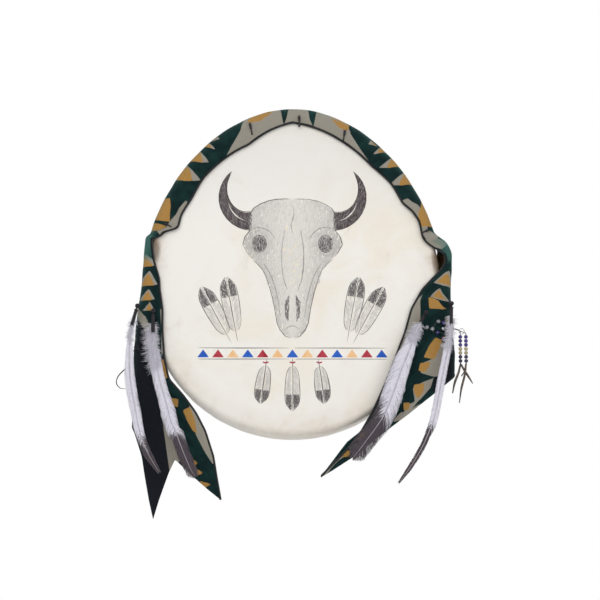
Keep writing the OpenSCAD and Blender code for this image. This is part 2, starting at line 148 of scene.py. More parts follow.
class Shape:
    """Gathers points, faces and one number a point for each named value, then makes one piece."""

    def __init__(self):
        self.points, self.faces, self.values, self.count = [], [], {}, 0

    def add(self, points, *faces, **values):
        points = np.asarray(points, float).reshape(-1, 3)
        for block in faces:
            self.faces.extend((np.asarray(block, int) + self.count).tolist())
        for name, value in values.items():
            self.values.setdefault(name, []).append(np.broadcast_to(np.ravel(value), len(points)))
        self.points.append(points)
        self.count += len(points)
        return self

    def rings(self, rings, closed=False, **values):
        """Rings of points joined in a row, and closed at both ends or to a loop."""
        n, m = rings.shape[:2]
        quads = grid_quads(n, m, wrap=True)
        if closed:
            last = (n - 1) * m + np.arange(m)
            turn = (np.arange(m) + 1) % m
            quads = np.vstack([quads, np.stack([last, last[turn], turn, np.arange(m)], -1)])
            return self.add(rings, quads, **values)
        ends = np.stack([rings[0].mean(0), rings[-1].mean(0)])
        around = np.arange(m)
        first = np.stack([np.full(m, n * m), (around + 1) % m, around], -1)
        back = (n - 1) * m
        final = np.stack([np.full(m, n * m + 1), back + around, back + (around + 1) % m], -1)
        values = {k: np.append(v, [np.ravel(v)[0], np.ravel(v)[-1]]) if np.ndim(v) else v
                  for k, v in values.items()}
        return self.add(np.vstack([rings.reshape(-1, 3), ends]), quads, first, final, **values)

    def tube(self, path, radius, sides=8, flat=1.0, up=(0, 1, 0), twist=0.0, **values):
        """A tube along a path. flat squashes it along up, and twist turns it, in degrees."""
        path = np.asarray(path, float)
        n = len(path)
        ahead = unit(np.gradient(path, axis=0))
        u = np.asarray(up, float)
        frames = []
        for t in ahead:
            u = u - t * np.dot(u, t)
            if np.linalg.norm(u) < 1e-6:
                u = np.cross(t, (1, 0, 0.3))
            u = unit(u)
            frames.append(u)
        u = np.array(frames)
        w = np.cross(ahead, u)
        turn = np.radians(np.linspace(0, twist, n))[:, None]
        u, w = u * np.cos(turn) + w * np.sin(turn), w * np.cos(turn) - u * np.sin(turn)
        r = np.broadcast_to(radius, n)[:, None, None]
        angle = full_turn(sides)
        ring = (np.cos(angle)[None, :, None] * u[:, None] * flat
                + np.sin(angle)[None, :, None] * w[:, None])
        values = {k: np.repeat(v, sides) if np.ndim(v) else v for k, v in values.items()}
        return self.rings(path[:, None] + r * ring, **values)

    def strands(self, paths, sides, lifts, **values):
        """Thin three-sided solids that run to a point at both ends, one along each path."""
        paths, sides, lifts = (np.asarray(x, float) for x in (paths, sides, lifts))
        n, k = paths.shape[:2]
        middle = slice(1, k - 1)
        body = np.stack([paths[:, middle] + sides[:, middle], paths[:, middle] + lifts[:, middle],
                         paths[:, middle] - sides[:, middle]], 2).reshape(n, -1, 3)
        points = np.concatenate([paths[:, :1], body, paths[:, -1:]], 1)
        each = 3 * (k - 2) + 2
        start = (np.arange(n) * each)[:, None, None]
        quads = grid_quads(k - 2, 3, wrap=True) + 1
        tip, last = each - 1, each - 4
        tris = [[0, 2, 1], [0, 3, 2], [0, 1, 3], [tip, last, last + 1],
                [tip, last + 1, last + 2], [tip, last + 2, last]]
        blocks = [(start + np.asarray(f)[None]).reshape(-1, np.shape(f)[-1])
                  for f in (quads, tris) if len(f)]
        spread = {}
        for name, v in values.items():
            v = np.broadcast_to(v if np.ndim(v) == 2 else np.reshape(v, (-1, 1)), (n, k))
            spread[name] = np.concatenate([v[:, :1], np.repeat(v[:, middle], 3, 1), v[:, -1:]], 1)
        return self.add(points, *blocks, **spread)

    def make(self, name, material, body="root", slot=None, stands_for=(), sharp=None):
        mesh = bpy.data.meshes.new(name)
        mesh.from_pydata((np.vstack(self.points) * MM).tolist(), [], self.faces)
        for key, value in self.values.items():
            mesh.attributes.new(key, "FLOAT", "POINT").data.foreach_set(
                "value", np.concatenate(value).astype(np.float32))
        bm = bmesh.new()
        bm.from_mesh(mesh)
        bmesh.ops.recalc_face_normals(bm, faces=bm.faces)
        bm.to_mesh(mesh)
        bm.free()
        mesh.shade_smooth()
        if sharp:
            mesh.set_sharp_from_angle(angle=math.radians(sharp))
        mesh.materials.append(material)
        piece = add_object(name, mesh)
        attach(piece, body)
        if stands_for:
            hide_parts(*stands_for)
        return piece


def lathe(profile, at, axis, turns=20):
    """Rings of a turned solid whose profile is (distance along the axis, radius)."""
    axis = unit(axis)
    u = unit(np.cross(axis, (0.3, 1, 0.2)))
    w = np.cross(axis, u)
    angle = full_turn(turns)[:, None, None]
    profile = np.asarray(profile, float)
    around = np.cos(angle) * u + np.sin(angle) * w
    return np.asarray(at) + profile[None, :, :1] * axis + profile[None, :, 1:] * around


# ---- Materials ----

def rgb(r, g, b):
    """A linear colour from one in everyday 0 to 255 values."""
    parts = [c / 255 for c in (r, g, b)]
    return tuple(c / 12.92 if c <= 0.04045 else ((c + 0.055) / 1.055) ** 2.4 for c in parts) + (1,)


class Finish:
    """A material and short ways to add its nodes."""

    def __init__(self, name, **shader):
        self.material = bpy.data.materials.new(name)
        self.material.use_nodes = True
        self.tree = self.material.node_tree
        self.shader = self.tree.nodes["Principled BSDF"]
        self.set(**{k.replace("_", " "): v for k, v in shader.items()})

    def link(self, socket, value):
        if isinstance(value, bpy.types.NodeSocket):
            self.tree.links.new(value, socket)
        else:
            socket.default_value = value

    def set(self, **sockets):
        for name, value in sockets.items():
            self.link(self.shader.inputs[name], value)
        return self

    def node(self, kind, inputs=(), output=0, **settings):
        n = self.tree.nodes.new("ShaderNode" + kind)
        for key, value in settings.items():
            setattr(n, key, value)
        for key, value in dict(inputs).items():
            self.link(n.inputs[key], value)
        return n.outputs[output]

    def place(self, scale=(1, 1, 1)):
        """The point on the piece in metres, scaled."""
        at = self.node("TexCoord", output=3)
        return self.node("Mapping", {0: at, 3: scale})

    def value(self, name):
        return self.node("Attribute", output=2, attribute_name=name)

    def together(self, x, y, z=0.0):
        return self.node("CombineXYZ", {0: x, 1: y, 2: z})

    def noise(self, at, scale, detail=4.0, rough=0.55, warp=0.0):
        return self.node("TexNoise", {"Vector": at, "Scale": scale, "Detail": detail,
                                      "Roughness": rough, "Distortion": warp})

    def wave(self, at, scale, warp=0.0, direction="X", detail=1.0):
        return self.node("TexWave", {"Vector": at, "Scale": scale, "Distortion": warp,
                                     "Detail": detail}, output=1, bands_direction=direction)

    def cells(self, at, scale, feature="F1"):
        return self.node("TexVoronoi", {"Vector": at, "Scale": scale}, feature=feature)

    def math(self, operation, a, b=0.0):
        return self.node("Math", {0: a, 1: b}, operation=operation)

    def spread(self, value, low, high, to_low=0.0, to_high=1.0):
        return self.node("MapRange", {0: value, 1: low, 2: high, 3: to_low, 4: to_high},
                         interpolation_type="SMOOTHSTEP")

    def blend(self, share, a, b, way="MIX"):
        return self.node("Mix", {0: share, 6: a, 7: b}, output=2, data_type="RGBA", blend_type=way)

    def two(self, value, low, high, one, other):
        """One 0 to 255 colour going over to another as value goes from low to high."""
        return self.blend(self.spread(value, low, high), rgb(*one), rgb(*other))

    def relief(self, height, distance, strength=1.0, below=None):
        inputs = {"Height": height, "Distance": distance, "Strength": strength}
        if below is not None:
            inputs["Normal"] = below
        return self.node("Bump", inputs)


def rawhide(name, pale, warm, stain_and_shade):
    """Scraped hide: cloudy, with fine grain, pores and a darker, yellower edge, and with painted
    shadow beside the strip's gaps and painted shade over the top.
    """
    f = Finish(name, Roughness=0.52, Specular_IOR_Level=0.35)
    at = f.place()
    clouds = f.noise(at, 7, 4, 0.6, 0.8)
    blots = f.noise(at, 24, 6, 0.7, 0.5)
    grain = f.noise(at, 520, 3, 0.7)
    fibres = f.noise(f.place((1, 1, 3.5)), 85, 7, 0.75, 1.5)
    edge = f.value("edge")
    height = f.node("SeparateXYZ", {0: at}, output=2)
    low = f.spread(height, 0.02, -0.2, 0, 0.35)
    colour = f.blend(f.spread(clouds, 0.42, 0.68), pale, warm)
    colour = f.blend(f.math("MULTIPLY", low, blots), colour, warm)
    colour = f.blend(f.spread(blots, 0.56, 0.8, 0, 0.4), colour, stain_and_shade)
    # The edge value also carries the painted shadow beside the strip's gaps, so those spots take
    # this colour too.
    colour = f.blend(f.math("MULTIPLY", edge, f.spread(blots, 0.3, 0.8, 0.15, 0.75)), colour, stain_and_shade)
    pores = f.spread(f.cells(at, 340), 0.06, 0.14, 0.12, 0)
    colour = f.blend(pores, colour, rgb(150, 125, 100))
    colour = f.blend(f.spread(fibres, 0.55, 0.75, 0, 0.10), colour, rgb(190, 170, 145))
    # Painted shade: the top of the face goes greyer, as if in the shade of the strip over the rim.
    colour = f.blend(f.spread(height, 0.05, 0.21, 0, 0.30), colour, rgb(208, 206, 202))
    # Painted shadow: only the spots beside the strip's gaps pass an edge value of 1.05, and there
    # the hide goes dark brown.
    colour = f.blend(f.spread(edge, 1.05, 1.8, 0, 0.8), colour, rgb(112, 92, 74))
    coarse = f.relief(fibres, 0.0006, 0.35)
    f.set(**{"Base Color": colour, "Roughness": f.spread(blots, 0.3, 0.7, 0.42, 0.62),
             "Normal": f.relief(grain, 0.0002, 0.5, coarse)})
    return f.material


def bent_wood():
    """Pale ash, with its grain along the bend and darker pores."""
    f = Finish("ash_wood", Roughness=0.55)
    along, depth = f.value("along"), f.value("depth")
    at = f.together(f.math("MULTIPLY", along, 0.012), f.math("MULTIPLY", depth, 0.35))
    rings = f.wave(f.together(f.math("MULTIPLY", along, 0.002), f.math("MULTIPLY", depth, 0.16)),
                   1.0, 9.0, "Y", 3.0)
    pores = f.noise(f.together(f.math("MULTIPLY", along, 0.06), f.math("MULTIPLY", depth, 3.0)),
                    2.2, 4)
    figure = f.noise(at, 3, 5, 0.6)
    colour = f.blend(rings, rgb(206, 168, 118), rgb(172, 128, 80))
    colour = f.blend(f.spread(figure, 0.4, 0.7, 0, 0.5), colour, rgb(222, 188, 142))
    colour = f.blend(f.spread(pores, 0.58, 0.72, 0, 0.55), colour, rgb(120, 84, 50))
    f.set(**{"Base Color": colour, "Roughness": f.spread(figure, 0.3, 0.7, 0.45, 0.65),
             "Normal": f.relief(pores, 0.0003, 0.5)})
    return f.material


def leather(name, dark, light, scale=1.0, rough=0.6):
    """Soft leather with a pebbled grain, rubbed paler on its high places."""
    f = Finish(name, Roughness=rough, Specular_IOR_Level=0.4)
    at = f.place()
    pebbles = f.cells(at, 1500 * scale, "SMOOTH_F1")
    hide = f.noise(at, 160 * scale, 5, 0.65, 0.5)
    colour = f.blend(f.spread(hide, 0.35, 0.7), dark, light)
    colour = f.blend(f.spread(pebbles, 0.25, 0.6, 0.35, 0), colour, dark)
    f.set(**{"Base Color": colour,
             "Roughness": f.spread(hide, 0.3, 0.7, rough - 0.12, rough + 0.15),
             "Normal": f.relief(pebbles, 0.00025, 0.6, f.relief(hide, 0.0006, 0.4))})
    return f.material


def yarn(name, dark, light, pitch=1.0):
    """Twisted yarn: fine slanting plies and loose fibre."""
    f = Finish(name, Roughness=0.85, Sheen_Weight=0.25, Sheen_Roughness=0.5)
    at = f.place()
    plies = f.wave(f.place(), 420 * pitch, 2.5, "DIAGONAL", 2.0)
    fibre = f.noise(at, 900, 4, 0.7)
    colour = f.blend(plies, dark, light)
    colour = f.blend(f.spread(fibre, 0.6, 0.85, 0, 0.5), colour, light)
    f.set(**{"Base Color": colour,
             "Normal": f.relief(plies, 0.0004, 0.7, f.relief(fibre, 0.0003, 0.5))})
    return f.material


def wool():
    """Blanket wool: woven areas of colour, whose edges step with the weave, a soft nap, and a
    painted highlight on the folds at both sides.
    """
    f = Finish("woven_wool", Roughness=0.92, Sheen_Weight=0.35, Sheen_Roughness=0.45,
               Sheen_Tint=rgb(150, 205, 195), Specular_IOR_Level=0.15)
    u, v = f.value("cloth_u"), f.value("cloth_v")
    cloth = f.together(u, v)
    warp = f.wave(cloth, 0.62, 0.6, "X", 2.0)
    weft = f.wave(cloth, 0.50, 0.6, "Y", 2.0)
    twill = f.wave(cloth, 0.34, 0.4, "DIAGONAL", 2.0)
    nap = f.noise(cloth, 1.6, 5, 0.75, 0.6)
    worn = f.noise(cloth, 0.055, 4, 0.6)
    steps = f.math("ADD", nap, f.math("MULTIPLY", twill, 0.6))
    steps = f.math("MULTIPLY", f.math("SUBTRACT", steps, 0.8), 0.9)

    def area(name):
        return f.spread(f.math("ADD", f.value(name), steps), -0.25, 0.25)

    green = f.two(worn, 0.35, 0.7, (8, 32, 35), (19, 54, 52))
    beige = f.two(nap, 0.3, 0.7, (150, 144, 132), (184, 177, 164))
    gold = f.two(nap, 0.3, 0.7, (178, 128, 62), (204, 160, 92))
    navy = f.two(nap, 0.3, 0.7, (14, 15, 24), (32, 30, 42))
    colour = f.blend(area("navy"), green, navy)
    colour = f.blend(area("beige"), colour, beige)
    colour = f.blend(area("gold"), colour, gold)
    # Painted highlight: paler teal where the strip turns over its folds.
    teal = f.two(nap, 0.3, 0.7, (56, 106, 98), (98, 144, 134))
    colour = f.blend(f.spread(f.value("teal"), -5, 5, 0, 0.65), colour, teal)
    colour = f.blend(area("green"), colour, green)
    colour = f.blend(area("line"), colour, rgb(14, 13, 17))
    colour = f.blend(f.math("MULTIPLY", twill, 0.22), colour, rgb(10, 16, 18), "MULTIPLY")
    fuzz = f.spread(f.noise(cloth, 3.4, 3, 0.8), 0.62, 0.8, 0, 0.22)
    colour = f.blend(fuzz, colour, rgb(150, 160, 152))
    weave = f.math("ADD", f.math("MULTIPLY", warp, weft), f.math("MULTIPLY", twill, 0.7))
    f.set(**{"Base Color": colour,
             "Normal": f.relief(nap, 0.0006, 0.5, f.relief(weave, 0.0005, 0.55))})
    return f.material


def barbs():
    """Feather vanes: white to the dark tip, with fine barb lines and a faint barring."""
    f = Finish("feather_vane", Roughness=0.6, Sheen_Weight=0.2, Sheen_Roughness=0.4,
               Specular_IOR_Level=0.3)
    at = f.place()
    blotch = f.noise(at, 120, 4, 0.6)
    fine = f.noise(at, 700, 3, 0.7)
    dark = f.math("ADD", f.value("dark"), f.math("MULTIPLY", f.math("SUBTRACT", blotch, 0.5), 0.5))
    white = f.two(fine, 0.3, 0.7, (214, 211, 224), (240, 238, 246))
    white = f.blend(f.spread(f.value("out"), 0.0, 0.25, 0.2, 0), white, rgb(190, 186, 202))
    brown = f.two(fine, 0.3, 0.7, (52, 44, 50), (92, 82, 90))
    colour = f.blend(f.spread(dark, 0.35, 0.65), white, brown)
    colour = f.blend(f.value("pale"), colour, rgb(176, 166, 174))
    f.set(**{"Base Color": colour, "Normal": f.relief(fine, 0.0002, 0.4)})
    return f.material


def quill():
    f = Finish("quill_keratin", Roughness=0.35)
    at = f.place((1, 1, 0.2))
    streaks = f.noise(at, 600, 3, 0.6)
    pale = f.two(streaks, 0.3, 0.7, (178, 174, 184), (208, 204, 212))
    colour = f.blend(f.value("dark"), pale, rgb(150, 138, 140))
    f.set(**{"Base Color": colour, "Normal": f.relief(streaks, 0.0001, 0.4)})
    return f.material


def glass(name, deep, bright, clear=0.35):
    """Old trade-bead glass: a coloured body with swirls, small pits and a wet gloss."""
    f = Finish(name, Roughness=0.12, IOR=1.5, Coat_Weight=0.4, Coat_Roughness=0.05,
               Transmission_Weight=clear)
    at = f.place()
    swirl = f.noise(at, 260, 3, 0.5, 2.5)
    pits = f.noise(at, 1400, 2, 0.6)
    f.set(**{"Base Color": f.blend(f.spread(swirl, 0.35, 0.65), deep, bright),
             "Roughness": f.spread(pits, 0.55, 0.75, 0.07, 0.3),
             "Normal": f.relief(pits, 0.0001, 0.35)})
    return f.material


def silver():
    f = Finish("silver_metal", Metallic=1.0, Roughness=0.25)
    at = f.place()
    rub = f.noise(at, 300, 4, 0.6)
    colour = f.two(rub, 0.35, 0.7, (150, 148, 152), (216, 216, 222))
    f.set(**{"Base Color": colour,
             "Roughness": f.spread(rub, 0.3, 0.7, 0.15, 0.4), "Normal": f.relief(rub, 0.0001, 0.3)})
    return f.material


def paint(name, colour, rub, rough=0.5):
    """A thin coat of paint on hide: slightly uneven, with the hide's grain coming through."""
    f = Finish(name, Roughness=rough, Specular_IOR_Level=0.35)
    at = f.place()
    uneven = f.noise(at, 90, 5, 0.65)
    grain = f.noise(at, 620, 3, 0.7)
    shade = f.blend(f.spread(uneven, 0.35, 0.7), colour, rub)
    shade = f.blend(f.spread(grain, 0.62, 0.8, 0, 0.3), shade, rub)
    f.set(**{"Base Color": shade, "Normal": f.relief(grain, 0.0002, 0.4)})
    return f.material


def graphite():
    """Pencil: darker where it was pressed, and broken by the grain of the hide."""
    f = Finish("graphite", Roughness=0.6, Specular_IOR_Level=0.3)
    at = f.place()
    grain = f.noise(at, 900, 3, 0.8)
    tone = f.math("MULTIPLY", f.value("tone"), f.spread(grain, 0.25, 0.7, 1.3, 0.8))
    colour = f.blend(tone, rgb(240, 236, 230), rgb(62, 50, 56))
    f.set(**{"Base Color": colour, "Normal": f.relief(grain, 0.0001, 0.3)})
    return f.material


HIDE = rawhide("rawhide", rgb(246, 243, 237), rgb(242, 234, 220), rgb(200, 184, 166))
LACE = rawhide("rawhide_lace", rgb(214, 192, 150), rgb(196, 166, 118), rgb(150, 114, 72))
WOOD = bent_wood()
GRIP = leather("grip_leather", rgb(84, 50, 28), rgb(142, 94, 58))
DARK_LEATHER = leather("dark_leather", rgb(14, 12, 16), rgb(52, 48, 58), 1.4, 0.5)
LOOSE_LEATHER = leather("loose_leather", rgb(58, 54, 54), rgb(128, 112, 96), 1.4, 0.6)
BINDING = yarn("binding_yarn", rgb(9, 8, 11), rgb(40, 38, 44))
THREAD = yarn("black_thread", rgb(8, 7, 9), rgb(44, 38, 42), 2.0)
WOOL = wool()
VANE = barbs()
QUILL = quill()
PURPLE = glass("purple_glass", rgb(34, 20, 92), rgb(92, 66, 176))
TAN = glass("tan_glass", rgb(150, 138, 104), rgb(198, 186, 150), 0.05)
DARK_GLASS = glass("dark_glass", rgb(14, 10, 38), rgb(54, 40, 96))
CLEAR = glass("clear_glass", rgb(206, 204, 212), rgb(244, 242, 250), 0.75)
BROWN = glass("brown_glass", rgb(44, 14, 16), rgb(112, 52, 40), 0.1)
SILVER = silver()


# ---- Head and hoop ----

def hide_y(x, z):
    """Depth of the playing face, which isn't quite flat."""
    return FACE_Y + 0.25 * np.sin(x / 37 + 0.6) * np.sin(z / 43 + 1.1) + 0.1 * np.sin((x + z) / 19)


def arc(start, end, steps):
    return np.radians(np.linspace(start, end, steps))


def gap_shadow(p):
    """How dark the painted shadow beside the strip's two gaps makes the hide at each point."""
    wide, high = 13, 24
    return sum(np.exp(-((p[:, 0] - x) / wide) ** 2 - ((p[:, 2] - z) / high) ** 2)
               for x, z in GAP_SHADOWS)


def hide_rings(a):
    """The hide's rings: out over the face, round the side and back rim, and back inside."""
    bite = np.sqrt(np.maximum(SCALLOP_R ** 2 - scallop_offset(a) ** 2, 0)) - SCALLOP_BACK
    lip = LIP_END - np.maximum(bite, 0)
    pleat = np.sin(np.radians(32 * a)) * (0.6 + 0.4 * np.sin(np.radians(5 * a)))
    # Each point's edge value: the darker hide near the rim, plus the painted shadow beside the
    # strip's gaps.
    rings, edge = [], []

    def ring(inset, y, worn):
        p = rim(a, inset, y)
        rings.append(p)
        edge.append(np.clip(worn + 1.2 * gap_shadow(p), 0, 1.8))

    def face(fraction, lift):
        p = fraction * rim(a, SHOULDER, FACE_Y)
        near_edge = step((fraction - 0.86) / 0.14)
        p[:, 1] = FACE_Y + lift + (hide_y(p[:, 0], p[:, 2]) - FACE_Y) * (1 - near_edge)
        rings.append(p)
        edge.append(near_edge * 0.6 + 1.4 * gap_shadow(p))

    def lip_ring(t, y, worn):
        curl = 0.9 * t ** 3 * np.cos(np.radians(16 * a + 40))
        ring(LIP_IN + (lip - LIP_IN) * t, y - LIP_DROP * t + curl, worn)

    fractions = np.linspace(0.02, 1, 40)
    for t in fractions:
        face(t, 0)
    for t in arc(8, 90, 10):
        ring(SHOULDER * (1 - np.sin(t)), ARC_Y - SHOULDER * np.cos(t), 0.8)
    for y in np.linspace(ARC_Y + 3, RIM_Y - 3, 16):
        ring(-0.35 * pleat * step((y + 45) / 45), y, 0.6)
    for t in arc(10, 90, 6):
        ring(3 * (1 - np.cos(t)), RIM_Y - 3 + 3 * np.sin(t), 1.0)
    ring(LIP_IN * 0.6, RIM_Y + 0.1 * pleat, 1.0)
    for t in np.linspace(0, 1, 10):
        lip_ring(t, RIM_Y, 0.8 + 0.2 * t)
    for t in np.linspace(1, 0, 8):
        lip_ring(t, RIM_Y - HIDE_T, 1.0)
    for y in np.linspace(RIM_Y - HIDE_T, ARC_Y, 8):
        ring(HIDE_T, y, 0.5)
    for t in arc(82, 0, 7):
        r = SHOULDER - HIDE_T
        ring(SHOULDER - r * np.sin(t), ARC_Y - r * np.cos(t), 0.5)
    for t in fractions[::-3]:
        face(t, HIDE_T)
    return np.stack(rings), np.concatenate(edge)


def scallop_offset(a):
    """How far an angle is from the middle of its scallop, in millimetres along the lip."""
    spacing = 360 / HOLES
    off = (a + spacing / 2) % spacing - spacing / 2
    return np.radians(off) * (np.linalg.norm(outline(a), axis=-1) - LIP_END)


def hole_points():
    return rim((np.arange(HOLES) + 0.5) * 360 / HOLES, HOLE_IN, HOLE_Y)


def punch(piece, centres, radius, depth):
    """Cuts a round hole along Y through the piece at each centre."""
    cutter = Shape()
    for c in centres:
        cutter.tube([c - (0, depth, 0), c + (0, depth, 0)], radius, 14, up=(1, 0, 0))
    tool = cutter.make("hole_cutter", HIDE)
    cut = piece.modifiers.new("holes", "BOOLEAN")
    cut.operation, cut.object, cut.solver = "DIFFERENCE", tool, "EXACT"
    graph = bpy.context.evaluated_depsgraph_get()
    mesh = bpy.data.meshes.new_from_object(piece.evaluated_get(graph), depsgraph=graph)
    piece.modifiers.clear()
    piece.data = mesh
    bpy.data.objects.remove(tool)


def make_head():
    a = np.arange(RING) * 360 / RING
    rings, edge = hide_rings(a)
    head = Shape().rings(rings, edge=edge).make(
        "rawhide_head", HIDE, slot="rawhide", stands_for=["drumhead"], sharp=50)
    punch(head, hole_points(), HOLE_R, 6)
    return head


def make_hoop():
    a = np.arange(RING) * 360 / RING
    inner, front, back = HIDE_T + 10, FACE_Y + HIDE_T + 0.8, RIM_Y - HIDE_T - 0.2
    outer, corner, soft = HIDE_T + 0.3, 7.0, 1.2
    section = [(outer + corner * (1 - np.sin(t)), front + corner * (1 - np.cos(t)))
               for t in arc(0, 90, 7)]
    section += [(outer, y) for y in np.linspace(front + corner + 6, back - soft, 7)]
    section += [(outer + soft * (1 - np.cos(t)), back - soft + soft * np.sin(t))
                for t in arc(20, 90, 4)]
    section += [(inner - soft * (1 - np.sin(t)), back - soft + soft * np.cos(t))
                for t in arc(0, 90, 5)]
    section += [(inner, y) for y in np.linspace(back - soft - 4, front + soft + 4, 14)]
    section += [(inner - soft * (1 - np.cos(t)), front + soft - soft * np.sin(t))
                for t in arc(0, 90, 4)]
    rings, along, depth = [], [], []
    for inset, y in section:
        # The scarf joint, where the bent strip's tapered ends are glued over each other.
        seam = np.exp(-((a - 236 - 0.12 * (y + 30)) / 0.7) ** 2)
        rings.append(rim(a, inset - (0.7 * seam if inset > inner - 0.1 else 0), y))
        along.append(np.radians(a) * HALF_WIDTH)
        depth.append(np.full(RING, y + 2.0 * inset))
    shape = Shape().rings(np.stack(rings), closed=True, along=np.concatenate(along),
                          depth=np.concatenate(depth))
    shape.make("bent_hoop", WOOD, slot="wood", stands_for=["hoop"], sharp=40)


# ---- Lacing and grip ----

ARM_REACH, HUB_R, LACE_W, LACE_T = 66.0, 16.0, 4.0, 1.6
PER_ARM = HOLES // 4
ARMS = {"right": 0, "top": 90, "left": 180, "bottom": 270}


def turned(points, angle):
    """Points turned about the Y axis, from +X towards +Z."""
    p = np.asarray(points, float)
    c, s = math.cos(math.radians(angle)), math.sin(math.radians(angle))
    return np.stack([p[..., 0] * c - p[..., 2] * s, p[..., 1], p[..., 0] * s + p[..., 2] * c], -1)


def make_laces(side, angle, random):
    shape = Shape()
    for j in range(PER_ARM):
        a = angle + ((j + 0.5) / PER_ARM - 0.5) * 90
        hole = rim(a, HOLE_IN, HOLE_Y)
        layer = (1 if j % 2 == 0 else -1) * (LACE_T / 2 + 0.4)
        start = turned([ARM_REACH - 10, layer, (j - (PER_ARM - 1) / 2) * (LACE_W + 0.6) / 2], angle)
        ahead = unit(hole - start)
        out = np.array([outward(a)[0], 0, outward(a)[1]])
        line = [mix(start, hole + (0, 0.9, 0), t) for t in (0, 0.3, 0.6, 0.9)]
        line[1] = line[1] + (0, random.uniform(-0.5, 0.3), 0)
        path = curve(line + [hole - 1.8 * ahead + (0, 0.8, 0), hole + (0, -1.4, 0),
                             hole + 1.2 * out + (0, -3.4, 0)], 7)
        n = len(path)
        width = np.interp(np.arange(n), [0, 0.6 * n, 0.82 * n, n - 1], [2.0, 1.9, 1.5, 1.2])
        width = width * (1 + 0.05 * np.sin(np.arange(n) * 0.9 + random.uniform(0, 6)))
        shape.tube(path, width, 10, flat=0.42, twist=random.choice([0, 0, 180, -180]), edge=0.6)
    shape.make("laces_" + side, LACE, slot="lace", stands_for=["lacing_" + side])


def stadium(theta, w, h):
    """Points round a bar with half-round ends, w wide and h thick."""
    c, s = np.cos(theta), np.sin(theta)
    return np.sign(c) * (w - h) / 2 * np.minimum(1, np.abs(c) * 3) + h / 2 * c, h / 2 * s


def make_grip_arm(side, angle):
    """A flat strap wound round the laces: each turn lies a little over the last."""
    theta = full_turn(56)
    along = np.arange(HUB_R + 0.3, ARM_REACH, 0.35)
    pitch, strap = 4.4, 0.9
    rings = []
    for s in along:
        turn = (s / pitch - theta / (2 * np.pi)) % 1
        lift = strap * (np.sin(np.pi * turn) ** 0.45) - strap
        x, y = stadium(theta, 26 + 2 * lift, 10 + 2 * lift)
        rings.append(np.stack([np.full_like(theta, s), y, x], -1))
    for s, share in ((ARM_REACH + 0.2, 0.92), (ARM_REACH - 1.5, 0.86), (ARM_REACH - 9, 0.84)):
        x, y = stadium(theta, 26 * share, 10 * share - 1.2)
        rings.append(np.stack([np.full_like(theta, s), y, x], -1))
    shape = Shape().rings(turned(np.stack(rings), angle))
    # The strap's end is tucked under its last turn.
    tail = turned(curve([[ARM_REACH - 7, 4.2, -6], [ARM_REACH - 3, 5.0, -2],
                         [ARM_REACH + 3, 4.6, 1], [ARM_REACH + 9, 3.2, 3]], 6), angle)
    shape.tube(tail, np.linspace(2.0, 1.2, len(tail)), 8, flat=0.4)
    shape.make("grip_arm_" + side, GRIP, slot="grip_leather", stands_for=["grip_wrap_" + side])


def make_grip_hub():
    """Straps wound over the crossing, one over another."""
    shape = Shape()
    winds = 9
    for k in range(winds):
        angle = k * 180 / winds * 4 + 10
        t = np.linspace(0, 2 * np.pi, 49)
        reach, height = HUB_R - 1.3 - 0.05 * k, 5.2 + 0.16 * k
        c, s = np.cos(t), np.sin(t)
        loop = np.stack([reach * np.sign(c) * np.abs(c) ** 0.7,
                         height * np.sign(s) * np.abs(s) ** 0.55, 1.6 * np.sin(2 * t + k)], -1)
        shape.tube(turned(loop, angle), 3.0, 10, flat=0.34, up=turned([1, 0, 0], angle))
    shape.make("grip_knot", GRIP, slot="grip_leather", stands_for=["grip_hub"])


# ---- Wool strip ----

STRIP_W, STRIP_T, SIDE_T = 96.0, 3.0, 2.0
EDGE_INSET = [[18, 14], [24, 11], [28, 14], [32, 21], [40, 20], [50, 25], [66, 23], [79, 20],
              [90, 17], [101, 23], [113, 31], [125, 28], [136, 26], [145, 29], [152, 27],
              [157, 30], [160, 12]]
# A rib is the strip's section at one place: its front edge x, y, z, the direction in which it
# runs outwards, how far it runs flat, and the radius with which it then turns to the back.
LEFT_RIBS = [
    [-191, -71, 69, 165, 0, 7], [-190, -73, 55, 174, 0, 9], [-187, -73, 35, 180, 3, 10],
    [-180, -73, 12, 180, 11, 11], [-179, -73, -3, 180, 13, 11], [-175, -74, -30, 180, 21, 11],
    [-175, -74, -56, 180, 24, 11], [-172, -74, -97, 180, 30, 10], [-166, -69, -124, 180, 37, 9],
    [-147, -61, -145, 180, 58, 8], [-130, -57, -168, 180, 76, 5], [-117, -56, -193, 180, 96, 3],
    [-106, -56, -227, 180, 96, 3], [-102, -56, -252, 180, 96, 3], [-96, -56, -285, 180, 96, 3],
    [-90, -56, -311, 180, 96, 3]]
RIGHT_RIBS = [
    [180, -73, 62, 8, 14, 12], [191, -73, 55, 4, 9, 11], [206, -71, 47, 0, 1, 7],
    [208, -70, 36, 0, 0, 6], [201, -72, 24, 0, 5, 8], [189, -73, 12, 0, 15, 9],
    [175, -74, -3, 0, 27, 10], [160, -74, -30, 0, 42, 10], [151, -74, -62, 0, 54, 9],
    [141, -74, -88, 0, 68, 8], [129, -74, -119, 0, 81, 6], [118, -74, -145, 0, 96, 3],
    [107, -73, -169, 0, 96, 3], [87, -68, -203, 0, 96, 3], [67, -65, -225, 0, 96, 3],
    [38, -62, -254, 0, 96, 3]]
LEFT_CUT = [[0, -285], [15, -271], [38, -247], [52, -231], [62, -247], [78, -277], [96, -311]]
RIGHT_CUT = [[0, -254], [13, -225], [21, -203], [46, -169], [65, -145], [87, -119], [96, -112]]
TUCK_Z, TUCK_GAP = 42, 3.0     # where, on the right, the strip's back is drawn in to the drum
TURN_UNDER, SLANT_OUT = 18.0, np.array([0.6, 0, -0.8])
EVEN = np.array([0, 14, 24, 38, 52, 66, 82, 96.0])
